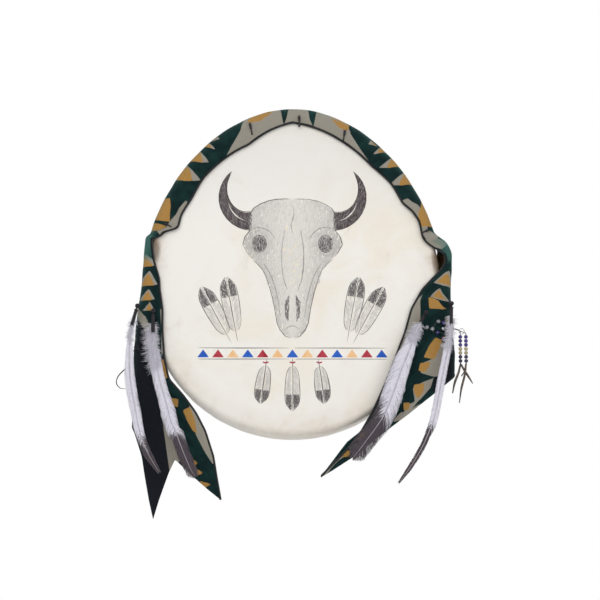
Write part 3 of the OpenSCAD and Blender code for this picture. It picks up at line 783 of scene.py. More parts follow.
TACKS = [[-58, 224, -55, 210], [9, 234, 9, 222], [71, 214, 69, 202], [-172, 87, -164, 82],
         [183, 78, 176, 75]]


def lookup(x, table):
    table = np.array(sorted(table), float)
    return np.interp(x, table[:, 0], table[:, 1])


def band_rib(a):
    inset = lookup(a, EDGE_INSET)
    p, out = outline(a) - inset * outward(a), outward(a)
    dip = 1 if a > 156 or a < 30 else 0
    return [p[0], FACE_Y - SIDE_T - dip, p[1], math.degrees(math.atan2(out[1], out[0])),
            max(inset - SHOULDER, 0), SHOULDER + SIDE_T]


def across(rib):
    """Where the strip's eight even lines lie on a rib, in millimetres from its front edge."""
    flat, bend = rib[4], rib[5] * math.pi / 2
    w = min(STRIP_W, flat + bend + RIM_Y - 2 - rib[1] - rib[5])
    side = (w - flat - bend) / 3
    turned_v = np.array([0, flat, flat + bend / 3, flat + 2 * bend / 3, flat + bend,
                         flat + bend + side, flat + bend + 2 * side, w])
    turned_v[1:] = np.maximum(turned_v[1:], 0.4 * np.arange(1, 8))
    f = min(max((flat - 26) / 30, 0), 1)
    return (1 - f) * turned_v + f * EVEN * STRIP_W / EVEN[-1]


def section(rib, v):
    """Points of a rib at distances v from its front edge."""
    e = np.array([math.cos(math.radians(rib[3])), 0, math.sin(math.radians(rib[3]))])
    flat = np.minimum(v, rib[4])
    turn = np.clip(np.maximum(v - rib[4], 0) / rib[5], 0, np.pi / 2)
    back = np.maximum(v - rib[4] - rib[5] * math.pi / 2, 0)
    tucked = 0.0
    if rib[0] > 0 and rib[2] > 0:
        drum = HALF_WIDTH * (1 - (rib[2] / RISE) ** FULLNESS) ** (1 / FULLNESS)
        tucked = rib[0] + (rib[4] + rib[5]) * e[0] - drum - TUCK_GAP
        tucked *= math.exp(-((rib[2] - TUCK_Z) / 20) ** 2)
    return (np.array(rib[:3]) + np.outer(flat + rib[5] * np.sin(turn) - tucked * step(back / 60), e)
            + np.outer(rib[5] * (1 - np.cos(turn)) + back, [0, 1, 0]))


def mirrored(rib, v):
    """Where the pattern is read, in x and z: beyond the silhouette it repeats in reverse."""
    flat, edge, turn = rib[4], rib[4] + rib[5], rib[4] + rib[5] * math.pi / 2
    reach = np.where(v < flat, v, np.minimum(flat + (v - flat) * 2 / math.pi, edge))
    reach = np.where(v > turn, np.abs(edge - (v - turn)), reach)
    a = math.radians(rib[3])
    return np.array([rib[0], rib[2]]) + np.outer(reach, [math.cos(a), math.sin(a)])


def soften(grid, reach):
    """Rounds the bends of a grid along its rows, and leaves its two ends where they are."""
    kernel = np.exp(-np.linspace(-2, 2, 2 * reach + 1) ** 2)
    kernel = (kernel / kernel.sum())[:, None, None]
    n = len(grid)
    padded = np.concatenate([2 * grid[:1] - grid[reach:0:-1], grid,
                             2 * grid[-1:] - grid[-2:-reach - 2:-1]])
    return sum(k * padded[i:i + n] for i, k in enumerate(kernel))


def strip_grid(columns=48, spacing=2.0):
    """The middle surface of the wool: rows from the left tail over the top to the right tail."""
    c = np.linspace(0, STRIP_W, columns)

    def tail(ribs, cut):
        """Rows of a tail, each its points, their distances v and where the pattern is read."""
        table = np.array(ribs[::-1], float)
        ends, top = lookup(c, cut), ribs[0][2]
        n = int((top - ends.min()) / spacing)
        rows = []
        for i in range(n + 1):
            z = top + (ends - top) * i / n
            row = []
            for j in range(columns):
                rib = [np.interp(z[j], table[:, 2], table[:, k]) for k in range(6)]
                v = np.interp(c[j], EVEN, across(rib))
                at = np.array([v])
                row.append((section(rib, at)[0], v, mirrored(rib, at)[0]))
            rows.append([np.array(part) for part in zip(*row)])
        return rows

    left, right = tail(LEFT_RIBS, LEFT_CUT), tail(RIGHT_RIBS, RIGHT_CUT)
    band, fold = [], []
    for a in np.linspace(162, 18, int(560 / spacing)):
        rib = band_rib(a)
        v = np.interp(c, EVEN, across(rib))
        band.append((section(rib, v), v, mirrored(rib, v)))
    last, last_v, last_plan = right[-1]
    away, depth = curve([[0, 0], [0.12, 2.5], [-0.3, 8], [-1, 9]], 4).T
    for s, d in list(zip(away, depth))[1:]:
        under = (last + SLANT_OUT * s * TURN_UNDER * np.minimum(c / 14, 1)[:, None]
                 + np.array([0, 1, 0]) * (d * np.minimum(c / 14 + 0.4, 1))[:, None])
        fold.append((under, last_v, mix(last_plan, np.array([88, -212]), 0.08)))
    grid, v, plan = (np.array(part) for part in zip(*left[::-1], *band, *right, *fold))
    return soften(grid, 4), v, plan, len(fold)


def inside(points, polygon):
    """Distance to a polygon's edge, positive inside it."""
    poly = np.asarray(polygon, float)
    near, odd = np.full(len(points), 1e9), np.zeros(len(points), bool)
    for a, b in zip(poly, np.roll(poly, -1, 0)):
        d = b - a
        t = np.clip((points - a) @ d / max(d @ d, 1e-9), 0, 1)
        near = np.minimum(near, np.linalg.norm(points - a - t[:, None] * d, axis=1))
        crosses = (a[1] > points[:, 1]) != (b[1] > points[:, 1])
        rise = np.where(abs(b[1] - a[1]) > 1e-9, b[1] - a[1], 1e-9)
        odd ^= crosses & (points[:, 0] < (b[0] - a[0]) * (points[:, 1] - a[1]) / rise + a[0])
    return np.where(odd, near, -near)


class Pattern:
    """The woven areas, each the signed distance of every point to a colour's shapes."""

    def __init__(self, grid, plan):
        self.length = run(grid[:, grid.shape[1] * 3 // 8])
        self.plan = plan.reshape(-1, 2)
        self.areas = {}

    def area(self, colour, *polygons):
        for polygon in polygons:
            kept = self.areas.get(colour, np.full(len(self.plan), -60.0))
            self.areas[colour] = np.maximum(kept, inside(self.plan, polygon))

    def arrow(self, apex, inner, outer, core=0.62):
        """A pale arrowhead with a gold core that leaves its inner corner pale."""
        apex, inner, outer = (np.array(c, float) for c in (apex, inner, outer))
        beyond = outer + (outer - inner) * 0.5
        self.area("beige", [apex + (apex - inner) * 0.02, inner, outer, beyond,
                            mix(apex, beyond, 0.6)])
        self.area("gold", [mix(apex, inner, 0.12), mix(inner, outer, 1 - core),
                           mix(inner, outer, 0.92), mix(apex, beyond, 0.75)])


def weave(p):
    """The pattern of the blanket that the strip was cut from, by x and z."""
    # A pale field over the top, with steps of green and gold at its outer edge.
    p.area("beige", [(-92, 176), (-84, 192), (-65, 226), (-52, 262), (62, 262), (73, 220),
                     (92, 190), (107, 168), (60, 190), (0, 205), (-60, 190)])
    p.area("green", [(-17, 246), (-12, 222), (-4, 246), (-6, 256), (-15, 256)],
           [(18, 246), (28, 219), (33, 244), (30, 256), (20, 256)],
           [(-35, 244), (-32, 236), (-29, 244)], [(44, 240), (47, 232), (50, 239)])
    p.area("gold", [(-60, 224), (-57, 232), (-33, 240), (-20, 244), (-31, 235), (-44, 228)],
           [(48, 241), (72, 230), (66, 224), (47, 235)],
           [(50, 230), (75, 221), (75, 214), (64, 219)])
    # Arrowheads down both shoulders.
    p.arrow((-100, 205), (-97, 202), (-106, 199), 0.1)
    p.arrow((-111, 196), (-104, 189), (-118, 191))
    p.arrow((-124, 186), (-113, 171), (-138, 171))
    p.arrow((-141, 166), (-124, 146), (-156, 145))
    p.area("gold", [(-164, 121), (-166, 100), (-166, 89), (-180, 90), (-190, 96), (-180, 118)],
           [(-180, 86), (-170, 83), (-182, 76), (-196, 76), (-196, 88)])
    p.arrow((104, 200), (102, 196), (110, 193), 0.1)
    p.arrow((117, 191), (109, 183), (124, 184))
    p.arrow((134, 178), (117, 164), (146, 164))
    p.arrow((152, 160), (131, 140), (166, 140))
    p.area("gold", [(173, 127), (170, 104), (171, 84), (184, 82), (204, 82), (196, 118)])
    # The pale edge where the strip leaves the head.
    p.area("beige", [(-143, 121), (-153, 109), (-158, 99), (-166, 90), (-169, 83), (-182, 76),
                     (-178, 70), (-160, 73), (-150, 84), (-146, 99), (-143, 110)],
           [(146, 118), (160, 104), (166, 92), (170, 76), (178, 60), (202, 52), (206, 60),
            (191, 68), (181, 79), (177, 98), (168, 112), (156, 122)])
    p.area("gold", [(216, 54), (300, 62), (300, 20), (216, 26)])
    # Painted highlight on the folds where the strip turns over at both sides.
    p.area("teal", [(-206, 76), (-184, 76), (-188, 60), (-190, 50), (-192, 38), (-206, 38)],
           [(192, 62), (214, 70), (222, 40), (208, 36), (204, 46), (200, 56)])
    for apex, base, axis, wide in ((45, 27, -195, 25), (22, 1, -192, 21), (-3, -19, -193, 16),
                                   (-20, -33, -192, 12)):
        left, right = axis - wide / 2, axis + wide / 2
        p.area("beige", [(axis, apex), (left - 2, base), (right, base + 2)])
        p.area("gold", [(axis - 1, mix(apex, base, 0.16)), (axis - wide * 0.42, base + 0.5),
                        (axis + wide * 0.28, base + 1)])
    for polygon in ([(209, 23), (190, 6), (214, -1)], [(198, 0), (185, -13), (208, -20)],
                    [(194, -17), (184, -26), (203, -31)]):
        p.area("beige", polygon)
        centre = np.mean(polygon, 0)
        p.area("gold", [mix(np.array(c), centre, 0.30) for c in polygon])
    # Left tail: a pale stripe between navy and green, and another inside its dark edge.
    p.area("navy", [(-230, -30), (-207, -33), (-196, -67), (-178, -155), (-165, -244), (-160, -330),
                    (-230, -330)])
    p.area("beige", [(-207, -33), (-204, -27), (-191, -54), (-180, -110), (-164, -197),
                     (-150, -232), (-164, -250), (-178, -155), (-196, -67)],
           [(-178, -30), (-174, -30), (-166, -54), (-160, -92), (-176, -92), (-176, -60)],
           [(-139, -160), (-129, -152), (-112, -184), (-104, -215), (-104, -238), (-107, -237),
            (-118, -220), (-130, -197), (-131, -180)])
    p.area("gold", [(-176, -98), (-167, -98), (-164, -120), (-172, -124)],
           [(-165, -148), (-153, -150), (-154, -161), (-163, -158)],
           [(-147, -165), (-138, -160), (-131, -178), (-128, -197), (-134, -192), (-141, -180)],
           [(-133, -231), (-126, -236), (-132, -240)], [(-129, -243), (-119, -249), (-127, -253)],
           [(-124, -260), (-108, -264), (-121, -271)])
    # Right tail.
    p.area("beige", [(177, -5), (172, -18), (172, -45), (166, -75), (160, -100), (135, -100),
                     (146, -60), (155, -38), (166, -18)],
           [(200, -72), (204, -78), (199, -100), (196, -121), (188, -121), (172, -116), (172, -104),
            (188, -97)],
           [(189, -123), (185, -136), (171, -152), (164, -156), (161, -136), (176, -128)],
           [(170, -152), (156, -168), (148, -174), (152, -160)],
           [(152, -172), (138, -182), (134, -180), (146, -168)],
           [(214, -27), (224, -30), (224, -50), (208, -55), (204, -46)],
           [(76, -224), (62, -232), (34, -262), (40, -246), (60, -226), (70, -216)])
    p.area("gold", [(192, -68), (201, -72), (197, -84), (190, -98), (176, -95), (183, -80)],
           [(171, -103), (185, -101), (183, -108), (177, -116), (169, -113)],
           [(162, -132), (177, -130), (175, -142), (168, -151), (163, -143)],
           [(148, -156), (157, -156), (156, -166), (149, -166)],
           [(183, -12), (196, -18), (205, -30), (184, -29)],
           [(86, -194), (96, -196), (94, -207), (86, -206)],
           [(64, -218), (79, -220), (76, -228), (64, -228)])
    p.area("navy", [(203, -76), (230, -76), (230, -155), (186, -150), (190, -122), (197, -120),
                    (200, -100)])
    return p.areas


def ragged_slab(shape, front, back, **values):
    """Two grids of points closed into one solid."""
    n, m = front.shape[:2]
    quads, size = grid_quads(n, m), n * m

    def wall(a, b):
        return np.stack([a, b, b + size, a + size], -1)

    i, j = np.arange(n - 1) * m, np.arange(m - 1)
    sides = [wall(i, i + m), wall(i, i + m) + m - 1, wall(j, j + 1), wall(j, j + 1) + (n - 1) * m]
    values = {k: np.tile(np.ravel(v), 2) if np.ndim(v) else v for k, v in values.items()}
    return shape.add(np.concatenate([front.reshape(-1, 3), back.reshape(-1, 3)]),
                     quads, quads[:, ::-1] + size, *sides, **values)


def make_strip():
    grid, v, plan, fold_n = strip_grid()
    pattern = Pattern(grid, plan)
    areas = weave(pattern)
    along, over = np.gradient(grid, axis=0), np.gradient(grid, axis=1)
    normal = unit(np.cross(along, over))
    normal *= np.sign(np.sum(normal[len(grid) // 2, 3] * (0, -1, 0)))
    m = grid.shape[1]
    q = pattern.length[:, None]
    wave = 0.35 + 0.35 * np.sin(q / 17 + v / 23) * np.sin(q / 31 + 1.3 - v / 13)
    wave += 0.12 * np.sin(q / 5.1 + 1.9 * np.sin(v / 9))
    for x0, z0, x1, z1 in TACKS:
        d = np.linalg.norm(grid - np.array([(x0 + x1) / 2, FACE_Y - 3, (z0 + z1) / 2]), axis=-1)
        wave += 0.5 * np.exp(-((d - 11) / 6) ** 2) - 0.5 * np.exp(-(d / 6) ** 2)
    thin = np.clip(np.minimum(np.arange(m), np.arange(m)[::-1]) / 1.2, 0.55, 1)
    half = STRIP_T / 2 * thin[None, :, None]
    front = grid + normal * (half + wave[..., None])
    back = grid - normal * half
    shape = ragged_slab(Shape(), front, back, cloth_u=np.repeat(pattern.length, m),
                        cloth_v=v, line=1.4 - v, **areas)
    strip = shape.make("wool_strip", WOOL, slot="wool", stands_for=["blanket_strip"])
    front_edge = grid[:len(grid) - fold_n, 0]
    return strip, front_edge, pattern.length[-1]


# ---- Stitching, wraps and thongs ----

def wound(shape, path, radius, pitch, depth, sides=12, spacing=0.5, slope=1.0, **values):
    """A cord with a thread or strap wound round it, so that each turn is a ridge."""
    path = np.asarray(path, float)
    length = run(path)
    s = np.linspace(0, length[-1], max(int(length[-1] / spacing), 6))
    path = follow(s, length, path)
    ahead = unit(np.gradient(path, axis=0))
    u = unit(np.cross(ahead, np.where(np.abs(ahead[:, 1:2]) > 0.8, (1.0, 0, 0), (0, 1.0, 0))))
    w = np.cross(ahead, u)
    theta = full_turn(sides)
    turn = (s[:, None] / pitch - slope * theta[None] / (2 * np.pi)) % 1
    r = np.interp(s, np.linspace(0, length[-1], np.size(radius)), np.ravel(radius))[:, None]
    r = r + depth * (np.sin(np.pi * turn) ** 0.6 - 1)
    rings = (path[:, None] + r[..., None] * (np.cos(theta)[None, :, None] * u[:, None]
                                             + np.sin(theta)[None, :, None] * w[:, None]))
    return shape.rings(rings, **values)


def tuft(shape, at, random, count, reach, thick=0.13, direction=(0, -1, 0)):
    """Short loose hairs of thread from one point."""
    starts, ends = [], []
    for _ in range(count):
        d = unit(np.array([random.gauss(0, 1), random.gauss(0, 0.6), random.gauss(0, 1)])
                 + np.array(direction) * 0.9)
        starts.append(np.array(at) + d * 0.2)
        ends.append(np.array(at) + d * reach * random.uniform(0.5, 1.1)
                    + np.array([0, 0, -random.uniform(0, 0.6)]))
    starts, ends = np.array(starts), np.array(ends)
    middle = (starts + ends) / 2 + np.array([[random.gauss(0, 0.25) for _ in range(3)]
                                             for _ in starts])
    paths = np.stack([starts, mix(starts, middle, 0.6), middle, mix(middle, ends, 0.5), ends], 1)
    ahead = unit(ends - starts)
    side = unit(np.cross(ahead, (0.2, 1, 0.1)))
    width = np.array([0, 1, 0.9, 0.6, 0])[None, :, None] * thick
    shape.strands(paths, side[:, None] * width, np.cross(side, ahead)[:, None] * width * 1.4)


def make_binding(edge, random):
    shape = Shape()
    wound(shape, edge, 1.65, 2.3, 0.38, 12, 0.42)
    n = len(edge)
    for k in range(6, n - 6, 9):
        if random.random() < 0.5:
            tuft(shape, edge[k] + (0, -1.3, 0), random, 2, 1.6, 0.09)
    return shape.make("binding_stitches", BINDING, slot="binding", stands_for=["edge_binding"])


def make_tacks(random):
    shape = Shape()
    y = FACE_Y - 4.6
    for x0, z0, x1, z1 in TACKS:
        a, b = np.array([x0, y, z0]), np.array([x1, y, z1])
        d = unit(b - a)
        side = np.cross(d, (0, 1, 0))
        for s in (-0.7, 0.7):
            path = curve([a + (0, 3.2, 0) - d * 0.3 + side * s, a + (0, 0.7, 0) + side * s,
                          mix(a, b, 0.3) + side * s * 1.2, mix(a, b, 0.7) - side * s * 0.4,
                          b + (0, 0.7, 0) + side * s, b + (0, 3.2, 0) + d * 0.3 + side * s], 8)
            wound(shape, path, 0.78, 1.1, 0.16, 9, 0.2)
        for p in (a, mix(a, b, 0.16)):
            loop = [p + 1.1 * (math.cos(t) * side + math.sin(t) * d)
                    + (0, -0.2 - 0.5 * math.sin(2 * t), 0) for t in np.linspace(0, 5.6, 18)]
            wound(shape, loop, 0.5, 0.9, 0.12, 8, 0.2)
        tuft(shape, a + (0, -0.4, 0), random, 26, 4.2, 0.12, -d * 0.8 + (0, -0.5, 0))
        tuft(shape, b + (0, -0.2, 0), random, 8, 2.2, 0.1, d)
    return shape.make("thread_tacks", THREAD, slot="thread", stands_for=["tack_stitches"])


STEM_R, EYE_T = 1.6, 2.4


def make_stem(name, x, z, y):
    """A leather stem through the wool, with a knot at its front and another under the wool."""
    end = y - EYE_T / 2 - 0.4
    shape = Shape()
    wound(shape, [[x, FACE_Y - 2 + 0.3, z], [x, end - 0.4, z]], STEM_R, 2.2, 0.12, 14, 0.3)
    for t0, tilt in ((0.0, 0.35), (2.1, -0.3)):
        loop = [[x + 1.75 * math.cos(t + t0), end - 0.3 + tilt * math.sin(t) * 1.1,
                 z + 1.75 * math.sin(t + t0)] for t in np.linspace(0, 5.9, 22)]
        shape.tube(loop, 0.85, 8, flat=0.75, up=(0, 1, 0))
    shape.tube([[x - 1.2, end + 0.4, z + 1.6], [x, end - 1.0, z + 0.2],
                [x + 1.3, end + 0.3, z - 1.6]], [0.7, 0.9, 0.6], 8, flat=0.6)
    shape.tube([[x, FACE_Y - 5.9, z], [x, FACE_Y - 5.3, z]], [2.2, 2.5], 16)
    shape.make("knotted_" + name, DARK_LEATHER, slot="dark_leather", stands_for=[name])


def make_eye(shape, x, y, z):
    rings = []
    for a in full_turn(32):
        c = np.array([x + 2.48 * math.cos(a), y, z + 2.48 * math.sin(a)])
        out = np.array([math.cos(a), 0, math.sin(a)])
        f = full_turn(10)
        wide = 0.7 + 0.04 * math.sin(3 * a)
        rings.append(c + wide * np.cos(f)[:, None] * out + 1.05 * np.sin(f)[:, None]
                     * np.array([0, 1, 0]))
    shape.rings(np.array(rings), closed=True)


def make_thong(name, side, hang, lean):
    shape = Shape()
    make_eye(shape, *hang)
    across_lean = np.cross(lean, (0, 1, 0))
    for s in (-1, 1):
        path = curve([hang + lean * 2.6 + across_lean * s * 1.0,
                      hang + lean * 4.6 + across_lean * s * 0.45 + (0, s * 0.35, 0),
                      hang + lean * 6.8 - across_lean * s * 0.4 - (0, s * 0.35, 0),
                      hang + lean * 9.0 - across_lean * s * 0.45], 7)
        shape.tube(path, 0.68, 8, flat=0.85)
    shape.make("twisted_thong_" + side, DARK_LEATHER, body=name, slot="dark_leather",
               stands_for=["thong_" + side])


def make_wrap(name, side, hang, lean, length, thick):
    shape = Shape()
    start, end = hang + 5 * lean, hang + (5 + length) * lean
    wound(shape, [start, mix(start, end, 0.5), end], [thick - 0.15, thick, thick - 0.15], 1.75,
          0.42, 18, 0.16)
    side_of = np.cross(lean, (0, 1, 0))
    for k, share in enumerate((0.04, 0.97)):
        c = mix(start, end, share)
        loop = [c + (thick - 0.25) * (math.cos(t) * side_of + math.sin(t) * np.array([0, 1, 0]))
                + lean * 0.5 * math.sin(t + k) for t in np.linspace(0.2, 6.2, 26)]
        shape.tube(loop, 0.62, 8)
    c = mix(start, end, 0.97) + np.array([0, 0.4 - thick, 0])
    shape.tube(curve([c + side_of * 0.9, c - (0, 0.5, 0), c - side_of * 0.9 + lean * 0.6,
                      c - side_of * 1.5 + lean * 3.2], 6), np.linspace(0.75, 0.35, 19), 8)
    shape.make("wound_wrap_" + side, DARK_LEATHER, body=name, slot="dark_leather",
               stands_for=["wrap_" + side])


# ---- Feathers ----

# Each feather: the point x, z that it hangs from, its depth, its leather wrap's length and radius,
# where along it the tip turns dark and how much sooner at one edge, its down (how many barbs, the
# share of the shaft that they take, their reach to the left and right), and its shaft as x, z and
# the vane's width to the left and right.
FEATHERS = {
    "left_outer": dict(at=(-208, -27), y=-84.5, wrap=22, thick=2.5, dark=0.70, edge_dark=0.0,
                       down=(260, 0.16, 9, 12), shaft=[
        [-217, -60, 1, 1], [-218, -80, 5, 5], [-217.5, -116, 7.5, 7.5], [-214, -142, 7.5, 7],
        [-209, -168, 7, 7], [-203.5, -195, 6, 6], [-194, -221, 6, 5.5], [-177, -250, 2, 2]]),
    "left_inner": dict(at=(-187, -33), y=-80, wrap=24, thick=3.0, dark=0.61, edge_dark=-0.05,
                       down=(1000, 0.28, 22, 12), shaft=[
        [-187, -66, 1, 1], [-185, -85, 9, 7], [-181, -110, 9, 8], [-176.5, -130, 9, 8],
        [-169, -156, 11, 10], [-162, -182, 10, 9], [-156, -195, 9, 9], [-146, -221, 9, 9],
        [-135, -246, 7, 7], [-129, -255, 4, 4]]),
    "right_inner": dict(at=(179, -36), y=-85.5, wrap=9, thick=2.5, dark=0.55, edge_dark=-0.07,
                        down=(420, 0.14, 16, 14), shaft=[
        [172, -49, 1, 1], [164, -65, 10, 6], [157, -84, 15, 9], [145, -114, 15, 14],
        [131, -153, 15, 14], [118, -180, 15, 13], [98, -208, 14, 13], [85, -225, 11, 10],
        [80, -231, 7, 7]]),
    "right_outer": dict(at=(213, -24), y=-90, wrap=22, thick=2.5, dark=0.52, edge_dark=0.0,
                        down=(480, 0.20, 13, 12), shaft=[
        [212, -58, 1, 1], [209, -75, 6, 5], [206, -92, 6, 5], [199, -126, 6, 5.5],
        [189, -175, 5.5, 5.5], [181, -197, 4, 4], [172, -217, 4, 4], [157, -242, 3.5, 3],
        [141, -264, 1.2, 1.2]])}


BARB_PITCH, WIDEST = 0.42, 15


def vane(shape, spine, ahead, length, width, sign, f, random):
    """One side of a feather: barbs that lie over each other, with a few splits between them."""
    total = length[-1]
    s = np.arange(0.03 * total, total * 0.995, BARB_PITCH)
    splits = sorted(random.uniform(0.1, 0.95) * total for _ in range(random.randint(5, 7)))
    bounds = np.array([0.0] + splits + [total])
    part = np.searchsorted(bounds, s, side="right") - 1
    low, high = bounds[part], bounds[np.minimum(part + 1, len(bounds) - 1)]
    place = (s - low) / np.maximum(high - low, 1)
    lean = np.array([random.uniform(-0.2, 0.7) for _ in range(len(bounds))])[part]
    t = s / total
    base, forward = follow(s, length, spine), unit(follow(s, length, ahead))
    out = np.cross(forward, (0, 1, 0)) * sign
    reach = np.interp(s, length, width)
    jitter = np.array([random.gauss(0, 1) for _ in s])
    angle = np.radians(38 + 8 * (1 - t) + 7 * (1 - 2 * place) + 1.6 * jitter)
    swept = 0.7 * angle
    long_ = reach / np.sin(swept) * (1 + 0.04 * jitter) * np.interp(t, [0, 0.05, 1], [0.5, 0.95, 1])
    to_tip = total + 3 - s
    rounded = 1 - 0.25 * np.clip(to_tip / (2.2 * reach), 0, 1)
    long_ = np.minimum(long_, to_tip * rounded / np.cos(swept))
    along = np.array([0, 0.06, 0.3, 0.6, 0.9, 1.0])
    paths = []
    for x in along:
        turn = angle * (1 - 0.3 * x * x)
        ray = forward * np.cos(turn)[:, None] + out * np.sin(turn)[:, None]
        p = base + ray * (long_ * x)[:, None]
        dip = -0.55 * lean * x ** 2 * (0.3 + place) + 0.8 * x * x * np.sin(s / 23 + 1)
        p[:, 1] += np.clip(dip, -1.2, 1.1)
        paths.append(p)
    paths = np.stack(paths, 1)
    side = forward[:, None] * np.array([0, 0.5, 0.5, 0.46, 0.36, 0])[None, :, None]
    lift = np.array([0, -0.10, -0.09, -0.08, -0.06, 0])[None, :, None] * np.array([0, 1.0, 0])
    away = np.broadcast_to(along, paths.shape[:2])
    dark = ((t[:, None] + along * 0.05 * long_[:, None] / 12 - f["dark"]) * 7
            + f["edge_dark"] * 7 * away * sign
            + 0.22 * jitter[:, None] + 0.2 * np.sin(s / 7.0)[:, None])
    shape.strands(paths, side, np.broadcast_to(lift, paths.shape), dark=np.clip(dark, -1, 2),
                  out=away, pale=0.0)


def make_feather(name, f, hang, lean, random):
    top = hang + 11 * lean
    table = np.array([[top[0], top[2], 1, 1]] + f["shaft"], float)
    xz = curve(np.stack([table[:, 0], table[:, 1], np.zeros(len(table))], -1), 12)[:, :2]
    n = len(xz)
    bow = 1.2 * np.sin(np.linspace(0, np.pi, n))
    spine = np.stack([xz[:, 0], f["y"] + 0.3 - bow * 0.6, xz[:, 1]], -1)
    ahead = unit(np.gradient(spine, axis=0))
    length = run(spine)
    rows = np.linspace(0, n - 1, len(table))
    total = length[-1]
    vanes, shaft, down = Shape(), Shape(), Shape()
    start = 0.10 if f["wrap"] > 12 else 0.05
    keep = length > start * total
    spine_v, ahead_v, length_v = spine[keep], ahead[keep], length[keep] - length[keep][0]
    right = np.sign(np.cross(ahead[n // 2], (0, 1, 0))[0])
    for sign, column in ((-1, 2), (1, 3)):
        width = np.minimum(np.interp(np.arange(n), rows, table[:, column]), WIDEST)[keep]
        vane(vanes, spine_v, ahead_v, length_v, width, sign * right, f, random)
    radius = np.interp(length / total, [0, 0.1, 0.5, 0.9, 1], [1.05, 1.0, 0.75, 0.4, 0.15])
    dark = step((length / total - f["dark"] - 0.05) * 6) * 0.6
    shaft.tube(spine + np.array([0, -0.35, 0]), radius, 12, dark=dark)
    count, down_to, reach_left, reach_right = f["down"]
    for _ in range(count):
        s = random.uniform(0.02, down_to) * total
        p, forward = follow(s, length, spine), unit(follow(s, length, ahead))
        out = np.cross(forward, (0, 1, 0)) * random.choice([-1, 1])
        reach = (reach_left if out[0] < 0 else reach_right) * random.uniform(0.5, 1.0)
        spin = random.uniform(0.1, 1.2)
        points, d = [p], unit(out * math.sin(spin) + forward * math.cos(spin))
        for _ in range(5):
            d = unit(d + np.array([random.gauss(0, 0.22), random.gauss(0, 0.16),
                                   random.gauss(0, 0.22)]))
            q = points[-1] + d * reach / 5
            q[1] = min(max(q[1], f["y"] - 1.7), f["y"] + 1.0)
            points.append(q)
        path = np.array(points)[None]
        width = np.array([0, 0.24, 0.22, 0.19, 0.13, 0])[None, :, None]
        side = np.cross(unit(path[:, -1] - path[:, 0]), (0, 1, 0))[:, None] * width
        down.strands(path, side, np.array([0, -1.0, 0]) * width, dark=-1.0,
                     out=np.linspace(0, 1, 6)[None], pale=0.0)
    body = name + "_feather"
    vanes.make("vane_" + name, VANE, body=body, slot="feather", stands_for=["feather_" + name])
    shaft.make("quill_" + name, QUILL, body=body, slot="feather")
    down.make("down_" + name, VANE, body=body, slot="feather")


def hang_feathers(random):
    for name, f in FEATHERS.items():
        hang = np.array([f["at"][0], f["y"], f["at"][1]], float)
        first = f["shaft"][0]
        lean = unit(np.array([first[0] - f["at"][0], 0, first[1] - f["at"][1]]))
        make_stem("stem_" + name, hang[0], hang[2], f["y"])
        body = name + "_feather"
        make_thong(body, name, hang, lean)
        make_wrap(body, name, hang, lean, f["wrap"], f["thick"])
        make_feather(name, f, hang, lean, random)


# ---- Beads ----

BEAD_R, STRING_R, BEAD_Y, CLUSTER_Y = 2.6, 0.6, -80.0, -78.8
WOOL_FRONT = FACE_Y - SIDE_T - STRIP_T / 2
DROP_AT, LEG_X, LEG_TOP = (214, -57), (225, 232.6), -65.0
BEAD_PITCH = 2 * BEAD_R + 0.2
FIRST_BEAD = LEG_TOP - 3
LAST_END = FIRST_BEAD - 6 * BEAD_PITCH - BEAD_R
RING_Z = FIRST_BEAD + BEAD_R + 4.8


def add_bead(shape, at, angle, random):
    """A rounded glass bead with a hole, its ends ground a little flat."""
    axis = (math.cos(math.radians(angle)), 0, math.sin(math.radians(angle)))
    r, h = BEAD_R * random.uniform(0.96, 1.0), BEAD_R * random.uniform(0.84, 0.93)
    t = np.radians(np.linspace(-78, 78, 13))
    outer = [(h * math.sin(a), 0.95 + (r - 0.95) * math.cos(a) ** 0.8) for a in t]
    inner = [(h * 0.86 * k, 0.86) for k in (1, 0.33, -0.33, -1)]
    shape.rings(lathe(outer + inner, at, axis, 26), closed=True)


